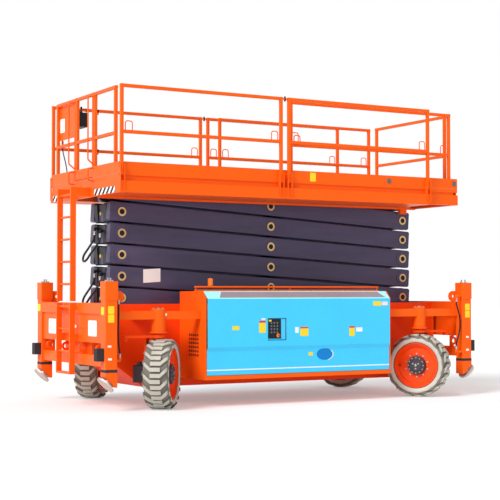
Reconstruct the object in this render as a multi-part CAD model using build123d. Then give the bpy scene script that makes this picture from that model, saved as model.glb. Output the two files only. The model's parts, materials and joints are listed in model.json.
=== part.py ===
"""Self-propelled rough-terrain scissor lift, stowed, wheels turned to full lock.

+X is the machine's front, where the platform extends, and the ladder is at the rear.
+Y is its left side and +Z is up. The origin is on the ground, midway between the
four outrigger legs. All lengths are in millimetres and all angles in degrees.
"""
from build123d import *
from math import atan2, cos, degrees, hypot, pi, radians, sin, tan
import os

# ---- Scissor pack -----------------------------------------------------------------
stage_count = 6
stage_height = 294          # pin to pin, one closed stage
scissor_run = 4730          # closed distance from rear pins to front pins
base_pin_height = 1172      # lowest pins above the ground
arm_depth = 268
arm_edge_radius = 14
arm_rear_overhang = 176     # beam end past the rear pin
arm_front_overhang = 125
arm_corner_cut = 20
pack_half_width = 340       # middle of the pack to the outer arms' doubler plates
outer_arm_width = 130       # with its doubler
inner_arm_width = 105
arm_gap = 10                # between outer and inner beams
doubler_thickness = 6
doubler_radius = 112
doubler_stages = 4          # lower stages, whose outer arms have doublers at their end pins
long_doubler = 470          # the lowest stage's rear doubler, from its pin towards the middle
long_doubler_half_depth = 104
long_doubler_cut = 60
pin_radius = 38
pin_clearance = 0.08        # radial, at every scissor pin
collar_radius = 62
collar_proud = 5
cross_box_setback = 58      # pin centre to the box that joins the inner beams
cross_box_inset = 16        # box top and bottom inside the beams' faces
lift_travel = 57.5          # how far the arms turn up from the closed angle
roller_radius = 55
roller_width = 50
roller_clearance = 5        # around a roller in its track

# ---- Lift cylinders ---------------------------------------------------------------
cylinder_stages = (2, 4)    # inner arm that carries each barrel; the rod reaches the next one
cylinder_offset = 1000      # eye to the arm's middle pin, along the arm
cylinder_pin_radius = 35
barrel_radius = 62
barrel_bore = 52
barrel_base = 90            # eye centre to the bottom of the bore
barrel_gland = 60
rod_radius = 36
eye_radius = 54
eye_half_width = 42
rod_eye_length = 100        # eye centre to the gland when closed
rod_fit = 0.1               # radial, in the bore and the gland
piston_length = 60
piston_gap = 10             # piston to the bottom of the bore when closed
lug_gap = 6                 # rod eye to the lugs beside it
eye_lug_thickness = 14
lug_tube_up = 100           # cross tube over the rod's eye
lug_tube_radius = 30

# ---- Chassis ----------------------------------------------------------------------
leg_spacing_x = 5808        # between front and rear leg centres
leg_spacing_y = 2286
leg_housing = 165
leg_housing_wall = 11
leg_housing_bottom = 546
leg_housing_top = 1438
leg_cap = 180
leg_cap_top = 1681
wiper_height = 38
girder_half_width = 470     # main frame's outer faces
girder_top = 1380
girder_side_gap = 10        # pack to girder, each side
trough_floor = 930
belly_bottom = 250
belly_half_length = 2100
belly_ramp = 500
belly_end_bottom = 620
side_beam_top = 1289
side_beam_bottom = 1182
side_beam_width = 100
side_beam_y = 1050
end_beam_top = 1400
end_beam_bottom = 1260
end_plate_bottom = 880
end_plate_thickness = 20
end_plate_setback = 28
end_flange = 60             # flange under the end plate, inward
low_beam_top = 718
low_beam_bottom = 577
low_beam_depth = 100
lug_thickness = 30
lug_radius = 62
lug_recess = 8              # lug tip behind the legs' outer faces
lug_bore_radius = 32
lug_offsets = (300, 880)
lift_eye_reach = 150        # lifting eye beside each leg housing
lift_eye_top = 1558
lift_eye_y = 1082
lift_eye_thickness = 25
lift_eye_hole = 24

# ---- Wheels and steering ----------------------------------------------------------
kingpin_x = 2149
kingpin_y = 1038
scrub = 50                  # wheel centre outside the kingpin
steer_lock = 52
tyre_radius = 462
tyre_width = 360
tyre_shoulder = 45
tread_depth = 30
tread_lugs = 18             # on each side of the middle
lug_bar = 52                # width of one tread bar
lug_bar_flat = 66           # half length of the bar's straight middle
lug_bar_sweep = 105         # how far its outer end trails round the tyre
casing_bulge = 10
rim_radius = 330
rim_width = 300
rim_wall = 14
rim_step_radius = 282       # dish inside the rim's outer barrel
rim_step_depth = 34
disc_setback = 70           # wheel disc inside the rim's outer edge
disc_thickness = 18
hub_radius = 140
hub_cap_radius = 98
hub_cap_proud = 16
wheel_bolt_circle = 168
wheel_bolt_radius = 12
wheel_bolt_proud = 14
wheel_bolts = 10
spindle_radius = 90
spindle_clearance = 0.1
kingpin_radius = 55
kingpin_housing_radius = 95
kingpin_housing_bottom = 1000
kingpin_flange_radius = 118
kingpin_flange = 18
kingpin_cap_height = 30
knuckle_plate_bottom = 940
knuckle_plate_thickness = 34
knuckle_side_thickness = 28
knuckle_side_bottom = 215
knuckle_foot_half_width = 60
knuckle_taper_top = 600
knuckle_hole_radius = 26
knuckle_hole_z = 800
steer_arm_reach = 470
steer_arm_radius = 50
steer_ball_radius = 24
steer_ball_height = 46
tyre_side_gap = 12
motor_length = 150
motor_height = 230
motor_width = 200
motor_corner = 30
motor_port_radius = 34
motor_port_length = 40
bolster_half_length = 150

# ---- Outrigger legs ---------------------------------------------------------------
leg_clearance = 3
leg_top = 1380
leg_foot = 315
pad_radius = 130
pad_thickness = 22
pad_stem_radius = 45
pad_stem = 38
bumper_width = 110
bumper_height = 165
bumper_depth = 98.5
bumper_corner = 12
bumper_center_z = 735
bumper_y = 1125

# ---- Cabinets ---------------------------------------------------------------------
cabinet_rear = -1520
cabinet_front = 1463
cabinet_side = 1250
cabinet_bottom = 426
cabinet_top = 1555
cabinet_slope_run = 120
cabinet_slope_drop = 103
cabinet_hinge_y = 945
cabinet_skin = 6
cabinet_step_top = 800
cabinet_step_bottom = 747
cabinet_step = 22
sill_height = 61
end_plate_gap = 6
tray_plate = 20
hinge_radius = 8
hinge_sleeve = 14
wall_rise = 22              # inner wall above the cover
top_rail_radius = 13
top_rail_rise = 57          # rail above the cover
beacon_x = -1272
beacon_radius = 42
beacon_base = 50
beacon_dome = 105
dome_inset = 6
control_rear = -590
control_front = -290
control_bottom = 878
control_top = 1185
control_bevel = 34
equipment_margin = 120
equipment_face = 1010       # outer side of the engine and tank blocks
equipment_corner = 25
tank_length = 900
tank_drop = 160             # tank top under the cabinet's shoulder
filler_radius = 60
filler_height = 70
pack_length = 1130
pack_drop = 420
engine_length = 1000
engine_drop = 330
engine_head_inset = 90
engine_head_height = 150
radiator_length = 130
filter_radius = 95
filter_length = 420

# ---- Ladders ----------------------------------------------------------------------
ladder_half_width = 250
stringer_width = 30
stringer_depth = 75
ladder_standoff = 51.5      # end plates to the lower ladder
rung_pitch = 303
rung_radius = 16
low_ladder_bottom = 440
low_ladder_top = 1400
high_ladder_bottom = 1420
high_ladder_step = 10       # upper ladder stands this far behind the lower one
ladder_bracket_bottom = 905

# ---- Platform ---------------------------------------------------------------------
platform_rear = -2790
panel_front = 2222          # front end of the fixed frame, guard rails and kick plates
floor_over_pin = 154        # floor above the highest pins
floor_thickness = 6
rail_plane_y = 1205
rail_tube = 45
rail_corner = 9
rail_height = 1160          # top rail above the floor
mid_rail_height = 560
toe_height = 150
toe_thickness = 6
toe_drop = 28               # kick plate's lower edge under the floor's top
side_frame_drop = 100       # side beam's top under the floor's top
side_frame_depth = 156
side_frame_width = 60
side_web = 12
pan_thickness = 4
joist_drop = 22             # joist under the side beams' bottom
joist_front = 2460
stop_front = 2557           # lower flange runs on past the joist
stop_rear = 2270
stop_drop = 72
panel_gap = 130             # between the posts of neighbouring rail panels
post_drop = 32              # guard rail post's foot under the floor's top
ear_thickness = 8
ear_gap = 3
ear_out = 18                # ear plates past the posts' outer faces
ear_top = 112               # above the floor
ear_bottom = 220            # below the floor
ear_pin_radius = 9
ear_pin_heights = (-18, 84)
hoop_length = 100           # tie-off hoop along its rail
hoop_height = 118
hoop_rod = 7
hoop_bend = 32
link_height = 22
link_half_width = 8
knob_radius = 13
knob_height = 34
rear_rail_half_width = 1017
gate_half_width = 320
gate_gap = 8
gate_pin = 9
gate_sleeve = 36            # twice the hinge sleeve's radius
gate_hinge_low = 350        # above the floor
gate_hinge_drop = 270       # under the top rail
gate_toe_gap = 12
grab_rod = 10
grab_out = 86               # grab rail behind the gate posts
grab_top = 60               # under the rail's top
grab_bottom = 240           # straight part's lower end above the floor
grab_bend = 40
step_hoop_out = 80          # hoop behind the platform's rear beam
step_hoop_top = 125         # above the floor
step_hoop_bottom = 45       # below the floor
sheet_thickness = 3
sheet_inner_y = 420
sheet_bottom = 630          # above the floor
console_bottom = 770
console_height = 200
console_width = 280
console_depth = 150
console_corner = 12
guard_rod = 6
guard_rise = 60
extension_rail_y = 1050
extension_rail_drop = 15
extension_toe_rise = 10     # its kick plates over the fixed ones
extension_toe_drop = 49     # their front part's lower edge under the main floor
extension_box_gap = 20      # its front box ahead of the fixed frame
extension_rail_rear = -115
extension_rail_front = 2710
extension_front = 2835
extension_end_rail_x = 2760
extension_end_rail_y = 890
extension_deck_y = 1095
extension_floor_gap = 6
extension_beam_width = 65
extension_beam_depth = 152
extension_beam_gap = 14     # extension beam above the main frame's lower sheet
runner_width = 30
runner_y = (420, 1000)
slide_gap = 6
seat_gap = 0.3              # between a resting piece and its seat

# ---- Hoses and cable --------------------------------------------------------------
arm_hose_radius = 15
arm_hose_stages = (3, 5)    # inner arms that carry a hose loop
leg_hose_radius = 12
cable_radius = 8
bend_share = 0.45           # of a bend's shorter run
fitting_radius = 18
fitting_length = 34
cable_gland_radius = 14
cable_x = -2720             # plane of the console's cable

# ---- Worked out from the sizes above ----------------------------------------------
arm_length = hypot(scissor_run, stage_height)
closed_angle = degrees(atan2(stage_height, scissor_run))
half_run = scissor_run / 2
half_arm = arm_length / 2
outer_arm_in = pack_half_width - outer_arm_width
outer_beam_out = pack_half_width - doubler_thickness
inner_arm_out = outer_arm_in - arm_gap
inner_arm_in = inner_arm_out - inner_arm_width
girder_in = pack_half_width + girder_side_gap
roller_out = girder_in + slide_gap + roller_width
top_pin_height = base_pin_height + stage_count * stage_height
leg_x = leg_spacing_x / 2
leg_y = leg_spacing_y / 2
leg_half = leg_housing / 2
leg_inner_face = leg_x - leg_half
leg_outer_face = leg_x + leg_half
end_plate_out = leg_outer_face - end_plate_setback
cabinet_shoulder = cabinet_top - cabinet_slope_drop
cabinet_wall_top = cabinet_top + wall_rise
top_rail_z = cabinet_top + top_rail_rise
sill_bottom = cabinet_bottom - sill_height
ladder_x = -(end_plate_out + ladder_standoff + stringer_depth)
floor_top = top_pin_height + floor_over_pin
floor_bottom = floor_top - floor_thickness
rail_top = floor_top + rail_height
mid_rail_z = floor_top + mid_rail_height
toe_top = floor_top + toe_height
toe_bottom = floor_top - toe_drop
side_frame_top = floor_top - side_frame_drop
side_frame_bottom = side_frame_top - side_frame_depth
joist_bottom = side_frame_bottom - joist_drop
joist_out = roller_out + 2 * slide_gap
frame_out = rail_plane_y + rail_tube / 2
frame_in = frame_out - side_frame_width
web_in = frame_in - side_web
rail_half = rail_tube / 2
rear_post_x = platform_rear + toe_thickness + rail_half
gate_hinge_x = rear_post_x + rail_half + gate_sleeve / 2
gate_hinges = (floor_top + gate_hinge_low, rail_top - gate_hinge_drop)
extension_floor = floor_top + extension_floor_gap
extension_beam_bottom = side_frame_bottom + pan_thickness + extension_beam_gap
extension_beam_top = extension_beam_bottom + extension_beam_depth
extension_beam_in = extension_deck_y - extension_beam_width

CORNERS = (
    # name, end along X, side along Y
    ("front_left", 1, 1),
    ("front_right", 1, -1),
    ("rear_left", -1, 1),
    ("rear_right", -1, -1),
)
SIDES = (
    # name, side along Y
    ("left", 1),
    ("right", -1),
)
LEG_HOSE_ROUTES = {
    # end along X: distance from the leg's inner face, and height
    1: ((100, 1450), (100, 1370), (70, 1285), (41, 1195), (28, 1095), (33, 990), (57, 890), (91, 810),
        (108, 745), (108, 680)),
    -1: ((60, 1440), (60, 1230), (54, 1010), (60, 860), (80, 765), (80, 690)),
}
LEG_HOSE_Y = {1: 1200, -1: 1125}
ARM_HOSE_ROUTE = (
    # distance behind the arm's end box, Y, and height above its rear pin
    (60, 95, 40), (60, 95, -45), (98, 104, -125), (152, 109, -205), (215, 107, -290), (240, 87, -348),
    (255, 33, -384), (255, -33, -384), (240, -87, -348), (215, -107, -290), (158, -109, -222),
    (101, -104, -148), (60, -95, -75), (60, -95, 0),
)
CABLE_ROUTE = (
    # Y and height, from the console's gland down to the floor's
    (640, 3960), (745, 3960), (850, 3918), (925, 3835), (968, 3735), (968, 3630), (925, 3535),
    (865, 3440), (810, 3345), (772, 3240), (772, 3130),
)


def block(x0, x1, y0, y1, z0, z1):
    """Block between two planes along each axis."""
    return Pos((x0 + x1) / 2, (y0 + y1) / 2, (z0 + z1) / 2) * Box(abs(x1 - x0), abs(y1 - y0), abs(z1 - z0))


def bar_x(x0, x1, y, z, radius):
    """Round bar along X."""
    return Pos((x0 + x1) / 2, y, z) * Rot(0, 90, 0) * Cylinder(radius, abs(x1 - x0))


def bar_y(x, y0, y1, z, radius):
    """Round bar along Y."""
    return Pos(x, (y0 + y1) / 2, z) * Rot(90, 0, 0) * Cylinder(radius, abs(y1 - y0))


def bar_z(x, y, z0, z1, radius):
    """Round bar along Z."""
    return Pos(x, y, (z0 + z1) / 2) * Cylinder(radius, abs(z1 - z0))


def tube_x(x0, x1, y0, y1, z0, z1, corner):
    """Rectangular bar along X with rounded long edges."""
    section = Plane.YZ * RectangleRounded(y1 - y0, z1 - z0, corner)
    return Pos(x0, (y0 + y1) / 2, (z0 + z1) / 2) * extrude(section, amount=x1 - x0)


def tube_y(x0, x1, y0, y1, z0, z1, corner):
    """Rectangular bar along Y with rounded long edges."""
    section = Plane.XZ * RectangleRounded(x1 - x0, z1 - z0, corner)
    return Pos((x0 + x1) / 2, y1, (z0 + z1) / 2) * extrude(section, amount=y1 - y0)


def tube_z(x0, x1, y0, y1, z0, z1, corner):
    """Rectangular bar along Z with rounded long edges."""
    section = RectangleRounded(x1 - x0, y1 - y0, corner)
    return Pos((x0 + x1) / 2, (y0 + y1) / 2, z0) * extrude(section, amount=z1 - z0)


def both_sides(shape):
    """The shape and its mirror image across the machine's middle."""
    return shape + mirror(shape, about=Plane.XZ)


def joined(shapes):
    """All the shapes joined in one step, which keeps flush rounded bars whole."""
    return shapes[0].fuse(*shapes[1:])


def mirrored(shapes):
    """The shapes with their mirror images across the machine's middle."""
    return [*shapes, *(mirror(shape, about=Plane.XZ) for shape in shapes)]


def side_profile(points, y0, y1):
    """Plate with an outline in X and Z, between two planes in Y."""
    face = make_face(Polyline(*[(x, y1, z) for x, z in points], close=True))
    return extrude(face, amount=y1 - y0, dir=(0, -1, 0))


def end_profile(points, x0, x1):
    """Bar with an outline in Y and Z, between two planes in X."""
    face = make_face(Polyline(*[(x0, y, z) for y, z in points], close=True))
    return extrude(face, amount=x1 - x0, dir=(1, 0, 0))


def round_sweep(path, radius):
    """Round section swept along a path."""
    return sweep(Plane(origin=path @ 0, z_dir=path % 0) * Circle(radius), path=path)


def bent_rod(points, radius, bend):
    """Round rod through points, with equal bends."""
    return round_sweep(FilletPolyline(*points, radius=bend), radius)


def hose(name, points, radius):
    """Hose through points, whose bends are as large as their runs allow."""
    points = [Vector(*point) for point in points]
    bends = []
    for before, corner, after in zip(points, points[1:], points[2:]):
        turn = radians((corner - before).get_angle(after - corner))
        shorter = min((corner - before).length, (after - corner).length)
        bends.append(bend_share * shorter / tan(turn / 2))
    path = FilletPolyline(*points, radius=bends)
    solid = round_sweep(path, radius)
    full = pi * radius ** 2 * path.length
    print(f"{name}: length {path.length:.0f}, smallest bend {min(bends):.0f}")
    print(f"{name}: volume over section times length {solid.volume / full:.3f}")
    return solid


# ---- Scissor arms -----------------------------------------------------------------
def arm_beam(y0, y1, round_rear, round_front):
    """One box beam, lying along X, with the arm's middle pin at the origin.

    A rounded end turns about its pin inside the platform's frame.
    """
    half_depth = arm_depth / 2
    rear = -half_arm - (half_depth if round_rear else arm_rear_overhang)
    front = half_arm + (half_depth if round_front else arm_front_overhang)
    beam = tube_x(rear, front, y0, y1, -half_depth, half_depth, arm_edge_radius)
    outline = []
    for x, end, is_round in ((rear, -1, round_rear), (front, 1, round_front)):
        cut = 0 if is_round else arm_corner_cut
        base = end * half_arm if is_round else x
        outline += [(base - end * cut, -end * half_depth), (base, -end * (half_depth - cut)),
                    (base, end * (half_depth - cut)), (base - end * cut, end * half_depth)]
    shape = make_face(Polyline(*[(x, y1, z) for x, z in dict.fromkeys(outline)], close=True))
    shape = extrude(shape, amount=y1 - y0, dir=(0, -1, 0))
    for end, is_round in ((-1, round_rear), (1, round_front)):
        if is_round:
            shape += bar_y(end * half_arm, y0, y1, 0, half_depth)
    return beam & shape


def place_arm(shape, stage, tilt):
    """Tilt an arm about its middle pin and lift it to its stage."""
    height = base_pin_height + (stage - 0.5) * stage_height
    return Pos(0, 0, height) * Rot(0, tilt, 0) * shape


def doublers(stage):
    """Plates that thicken the outer beam round its end pins; the lowest stage has a long one."""
    plates = bar_y(half_arm, outer_beam_out, pack_half_width, 0, doubler_radius)
    if stage > 1:
        return plates + bar_y(-half_arm, outer_beam_out, pack_half_width, 0, doubler_radius)
    rear = -half_arm - arm_rear_overhang + arm_corner_cut
    front = -half_arm + long_doubler
    outline = (
        (rear, -long_doubler_half_depth),
        (front - long_doubler_cut, -long_doubler_half_depth),
        (front, -long_doubler_half_depth + long_doubler_cut),
        (front, long_doubler_half_depth - long_doubler_cut),
        (front - long_doubler_cut, long_doubler_half_depth),
        (rear, long_doubler_half_depth),
    )
    return plates + side_profile(outline, outer_beam_out, pack_half_width)


def outer_arm(stage):
    """Outer beams joined by the end shafts, rear end high, with stub pins in the middle."""
    side = arm_beam(outer_arm_in, outer_beam_out, stage == stage_count, False)
    if stage <= doubler_stages:
        side += doublers(stage)
    side += bar_y(0, inner_arm_in, pack_half_width, 0, pin_radius)
    rear_reach = roller_out if stage == stage_count else pack_half_width
    front_reach = roller_out if stage == 1 else pack_half_width
    for x, reach in ((-half_arm, rear_reach), (0, pack_half_width), (half_arm, front_reach)):
        collar = bar_y(x, outer_beam_out, pack_half_width + collar_proud, 0, collar_radius)
        recess = bar_y(x, pack_half_width, pack_half_width + collar_proud, 0, pin_radius)
        side += collar if reach > pack_half_width else collar - recess
    if stage == 1:
        side += bar_y(half_arm, girder_in + slide_gap, roller_out, 0, roller_radius)
    arm = both_sides(side)
    arm += bar_y(-half_arm, -rear_reach, rear_reach, 0, pin_radius)
    arm += bar_y(half_arm, -front_reach, front_reach, 0, pin_radius)
    return place_arm(arm, stage, closed_angle)


def inner_arm(stage):
    """Inner beams joined by a box at each end, rear end low, bored for the outer arms' pins."""
    top_stage = stage == stage_count
    arm = both_sides(arm_beam(inner_arm_in, inner_arm_out, False, top_stage))
    box_half_depth = arm_depth / 2 - cross_box_inset
    boxed_ends = [(-1, arm_rear_overhang)]
    if not top_stage:
        boxed_ends.append((1, arm_front_overhang))
    for end, overhang in boxed_ends:
        box_out = half_arm + overhang - arm_corner_cut
        arm += block(end * (half_arm + cross_box_setback), end * box_out,
                     -inner_arm_in, inner_arm_in, -box_half_depth, box_half_depth)
    pins = [-half_arm, 0] if top_stage else [-half_arm, 0, half_arm]
    for x in pins:
        arm -= bar_y(x, -inner_arm_out, inner_arm_out, 0, pin_radius + pin_clearance)
    if top_stage:
        arm += bar_y(half_arm, -roller_out, roller_out, 0, pin_radius)
        arm += both_sides(bar_y(half_arm, girder_in + slide_gap, roller_out, 0, roller_radius))
    if stage in cylinder_stages:
        arm += bar_y(cylinder_offset, -inner_arm_in, inner_arm_in, 0, cylinder_pin_radius)
    if stage - 1 in cylinder_stages:
        arm += rod_eye_lugs()
    arm = place_arm(arm, stage, -closed_angle)
    if stage in arm_hose_stages:
        for point in (ARM_HOSE_ROUTE[0], ARM_HOSE_ROUTE[-1]):
            x, y, z = arm_hose_point(stage, point)
            arm += elbow(arm_box_face() + fitting_radius, x, y, z + fitting_length, -1)
    return arm


def rod_eye_lugs():
    """Cross tube between the inner beams with two lugs beside the rod's eye."""
    lugs = bar_y(-cylinder_offset, -inner_arm_in, inner_arm_in, lug_tube_up, lug_tube_radius)
    lug_in = eye_half_width + lug_gap
    lug_out = lug_in + eye_lug_thickness
    lug = bar_y(-cylinder_offset, lug_in, lug_out, 0, cylinder_pin_radius + eye_lug_thickness)
    lug += block(-cylinder_offset - lug_tube_radius, -cylinder_offset + lug_tube_radius, lug_in, lug_out,
                 0, lug_tube_up)
    lug += bar_y(-cylinder_offset, lug_out, lug_out + eye_lug_thickness, 0, cylinder_pin_radius)
    return lugs + both_sides(lug)


def cylinder_line(stage):
    """Where a lift cylinder's barrel eye stands, its closed length and its slope."""
    reach = cylinder_offset * scissor_run / arm_length
    rise = cylinder_offset * stage_height / arm_length
    eye = (reach, base_pin_height + (stage - 0.5) * stage_height + rise)
    run = 2 * reach
    climb = stage_height - 2 * rise
    return eye, hypot(run, climb), degrees(atan2(climb, run))


def place_cylinder(shape, stage):
    """Turn a piece made along +X from the barrel's eye to its place in the pack."""
    (x, z), _, slope = cylinder_line(stage)
    return Pos(x, 0, z) * Rot(0, 180 + slope, 0) * shape


def cylinder_barrel(stage):
    """Barrel with its eye, bored for the piston and the rod."""
    length = cylinder_line(stage)[1] - rod_eye_length
    barrel = bar_x(barrel_base / 2, length, 0, 0, barrel_radius)
    barrel += bar_y(0, -eye_half_width, eye_half_width, 0, eye_radius)
    barrel -= bar_y(0, -barrel_radius, barrel_radius, 0, cylinder_pin_radius + pin_clearance)
    barrel -= bar_x(barrel_base, length - barrel_gland, 0, 0, barrel_bore)
    barrel -= bar_x(barrel_base, length, 0, 0, rod_radius + rod_fit)
    return place_cylinder(barrel, stage)


def cylinder_rod(stage):
    """Rod with its piston and an eye, which stands free between the next arm's lugs."""
    length = cylinder_line(stage)[1]
    piston = barrel_base + piston_gap
    rod = bar_x(piston, piston + piston_length, 0, 0, barrel_bore - rod_fit)
    rod += bar_x(piston + piston_length, length - cylinder_pin_radius, 0, 0, rod_radius)
    rod += bar_y(length, -eye_half_width, eye_half_width, 0, eye_radius)
    rod -= bar_y(length, -eye_half_width, eye_half_width, 0, cylinder_pin_radius)
    return place_cylinder(rod, stage)


# ---- Arm hoses --------------------------------------------------------------------
def elbow(face_x, x, y, z, upward):
    """Hose fitting that leaves a face along X and turns up or down."""
    fitting = bar_x(face_x, x, y, z, fitting_radius) + Pos(x, y, z) * Sphere(fitting_radius)
    return fitting + bar_z(x, y, z, z + upward * fitting_length, fitting_radius)


def arm_box_face():
    """X of the closed inner arms' rear end boxes."""
    return -half_run - (arm_rear_overhang - arm_corner_cut) * scissor_run / arm_length


def arm_hose_point(stage, point):
    """A point of the hose loop's route, behind one inner arm."""
    behind, y, rise = point
    return arm_box_face() - behind, y, base_pin_height + (stage - 1) * stage_height + rise


def arm_hose(stage):
    """Hose loop that hangs behind the pack, both ends on one inner arm."""
    points = [arm_hose_point(stage, point) for point in ARM_HOSE_ROUTE]
    return hose(f"arm_hose_{stage}", points, arm_hose_radius)


# ---- Chassis ----------------------------------------------------------------------
def raised_slider_x():
    """Where the sliding pins stand with the scissors fully raised."""
    return -half_run + arm_length * cos(radians(closed_angle + lift_travel))


def track_slot(height, y0, y1):
    """Room for a roller's whole travel between two planes in Y."""
    reach = roller_radius + roller_clearance
    rear = raised_slider_x() - reach
    front = half_run + reach
    return block(rear, front, y0, y1, height - reach, height + reach)


def main_frame():
    """Deep box frame with an open trough for the scissors and a roller track in each wall."""
    ramp_end = belly_half_length + belly_ramp
    outline = (
        (-leg_inner_face, belly_end_bottom),
        (-ramp_end, belly_end_bottom),
        (-belly_half_length, belly_bottom),
        (belly_half_length, belly_bottom),
        (ramp_end, belly_end_bottom),
        (leg_inner_face, belly_end_bottom),
        (leg_inner_face, girder_top),
        (-leg_inner_face, girder_top),
    )
    frame = side_profile(outline, -girder_half_width, girder_half_width)
    frame -= block(-leg_inner_face, leg_inner_face, -girder_in, girder_in, trough_floor, girder_top)
    track_depth = roller_out + slide_gap
    frame -= both_sides(track_slot(base_pin_height, girder_in, track_depth))
    frame += bar_y(-half_run, -girder_in, girder_in, base_pin_height, pin_radius)
    return frame


def leg_tube(end, side):
    """Square housing of one leg, closed by its cap."""
    x = end * leg_x
    y = side * leg_y
    half_bore = leg_half - leg_housing_wall
    half_cap = leg_cap / 2
    tube = tube_z(x - leg_half, x + leg_half, y - leg_half, y + leg_half,
                  leg_housing_bottom, leg_housing_top, leg_housing_wall)
    tube -= block(x - half_bore, x + half_bore, y - half_bore, y + half_bore,
                  leg_housing_bottom, leg_housing_top)
    tube += tube_z(x - half_cap, x + half_cap, y - half_cap, y + half_cap,
                   leg_housing_top, leg_cap_top, leg_housing_wall)
    return tube


def tie_down_lug(end, y):
    """Rounded lug with a bore across the machine, under the end plate."""
    tip = end * (leg_outer_face - lug_recess)
    centre_x = tip - end * lug_radius
    centre_z = (end_plate_bottom + low_beam_top) / 2
    lug = bar_y(centre_x, y - lug_thickness / 2, y + lug_thickness / 2, centre_z, lug_radius)
    lug += block(centre_x - end * lug_radius, centre_x, y - lug_thickness / 2, y + lug_thickness / 2,
                 low_beam_top, end_plate_bottom)
    return lug - bar_y(centre_x, y - lug_thickness, y + lug_thickness, centre_z, lug_bore_radius)


def lift_eye(end):
    """Lifting eye on the inner side of a left leg housing."""
    y0 = lift_eye_y - lift_eye_thickness / 2
    y1 = lift_eye_y + lift_eye_thickness / 2
    round_radius = (lift_eye_top - end_beam_top) / 2
    x = end * (leg_inner_face - lift_eye_reach + round_radius)
    z = lift_eye_top - round_radius
    eye = bar_y(x, y0, y1, z, round_radius)
    eye += block(x, end * leg_inner_face, y0, y1, end_beam_bottom, lift_eye_top)
    return eye - bar_y(x, y0, y1, z, lift_eye_hole)


def leg_hose_points(end):
    """Route of the hose beside a right leg."""
    return [(end * (leg_inner_face - inward), -LEG_HOSE_Y[end], z) for inward, z in LEG_HOSE_ROUTES[end]]


def leg_fittings(end):
    """Elbows on the inner faces of a right leg's cap and housing, above and below its hose."""
    points = leg_hose_points(end)
    top_x, y, top_z = points[0]
    low_x, _, low_z = points[-1]
    fittings = elbow(end * (leg_x - leg_cap / 2), top_x, y, top_z + fitting_length, -1)
    return fittings + elbow(end * leg_inner_face, low_x, y, low_z - fitting_length, 1)


def end_frame(end):
    """Two leg housings tied by cross beams, with the side beams and kingpin bolsters."""
    inner = end * leg_inner_face
    outer = end * leg_outer_face
    leg_in_y = leg_y - leg_half
    frame = leg_tube(end, 1) + leg_tube(end, -1)
    frame += block(inner, outer, -leg_in_y, leg_in_y, end_beam_bottom, end_beam_top)
    plate_out = end * end_plate_out
    plate_in = plate_out - end * end_plate_thickness
    frame += block(plate_in, plate_out, -leg_in_y, leg_in_y, end_plate_bottom, end_beam_bottom)
    frame += block(plate_out - end * end_flange, plate_in, -leg_in_y, leg_in_y,
                   end_plate_bottom, end_plate_bottom + end_plate_thickness)
    low_beam_in = plate_out - end * low_beam_depth
    frame += block(low_beam_in, plate_out, -leg_in_y, leg_in_y, low_beam_bottom, low_beam_top)
    frame += both_sides(block(inner, low_beam_in, 0, girder_half_width, belly_end_bottom, end_beam_bottom))
    for offset in lug_offsets:
        frame += both_sides(tie_down_lug(end, offset))
    beam_in = side_beam_y - side_beam_width / 2
    beam_out = side_beam_y + side_beam_width / 2
    cabinet_end = cabinet_front if end > 0 else cabinet_rear
    beam_end = cabinet_end + end * (end_plate_gap + tray_plate)
    frame += both_sides(block(inner, beam_end, beam_in, beam_out, side_beam_bottom, side_beam_top))
    bolster = block(end * (kingpin_x - bolster_half_length), end * (kingpin_x + bolster_half_length),
                    girder_half_width, beam_in, side_beam_bottom, side_beam_top)
    flange_bottom = kingpin_housing_bottom
    bolster += bar_z(end * kingpin_x, kingpin_y, flange_bottom, side_beam_top + kingpin_cap_height,
                     kingpin_housing_radius)
    bolster += bar_z(end * kingpin_x, kingpin_y, flange_bottom, flange_bottom + kingpin_flange,
                     kingpin_flange_radius)
    bolster -= bar_z(end * kingpin_x, kingpin_y, flange_bottom, side_beam_bottom,
                     kingpin_radius + spindle_clearance)
    return frame + both_sides(bolster + lift_eye(end)) + leg_fittings(end)


# ---- Steering and wheels ----------------------------------------------------------
def place_wheel_part(shape, end, side):
    """Turn a part made about its kingpin, wheel outward along -Y, to one corner at full lock."""
    heading = 180 if side > 0 else 0
    lock = -end * steer_lock
    return Pos(end * kingpin_x, side * kingpin_y, 0) * Rot(0, 0, heading + lock) * shape


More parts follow.
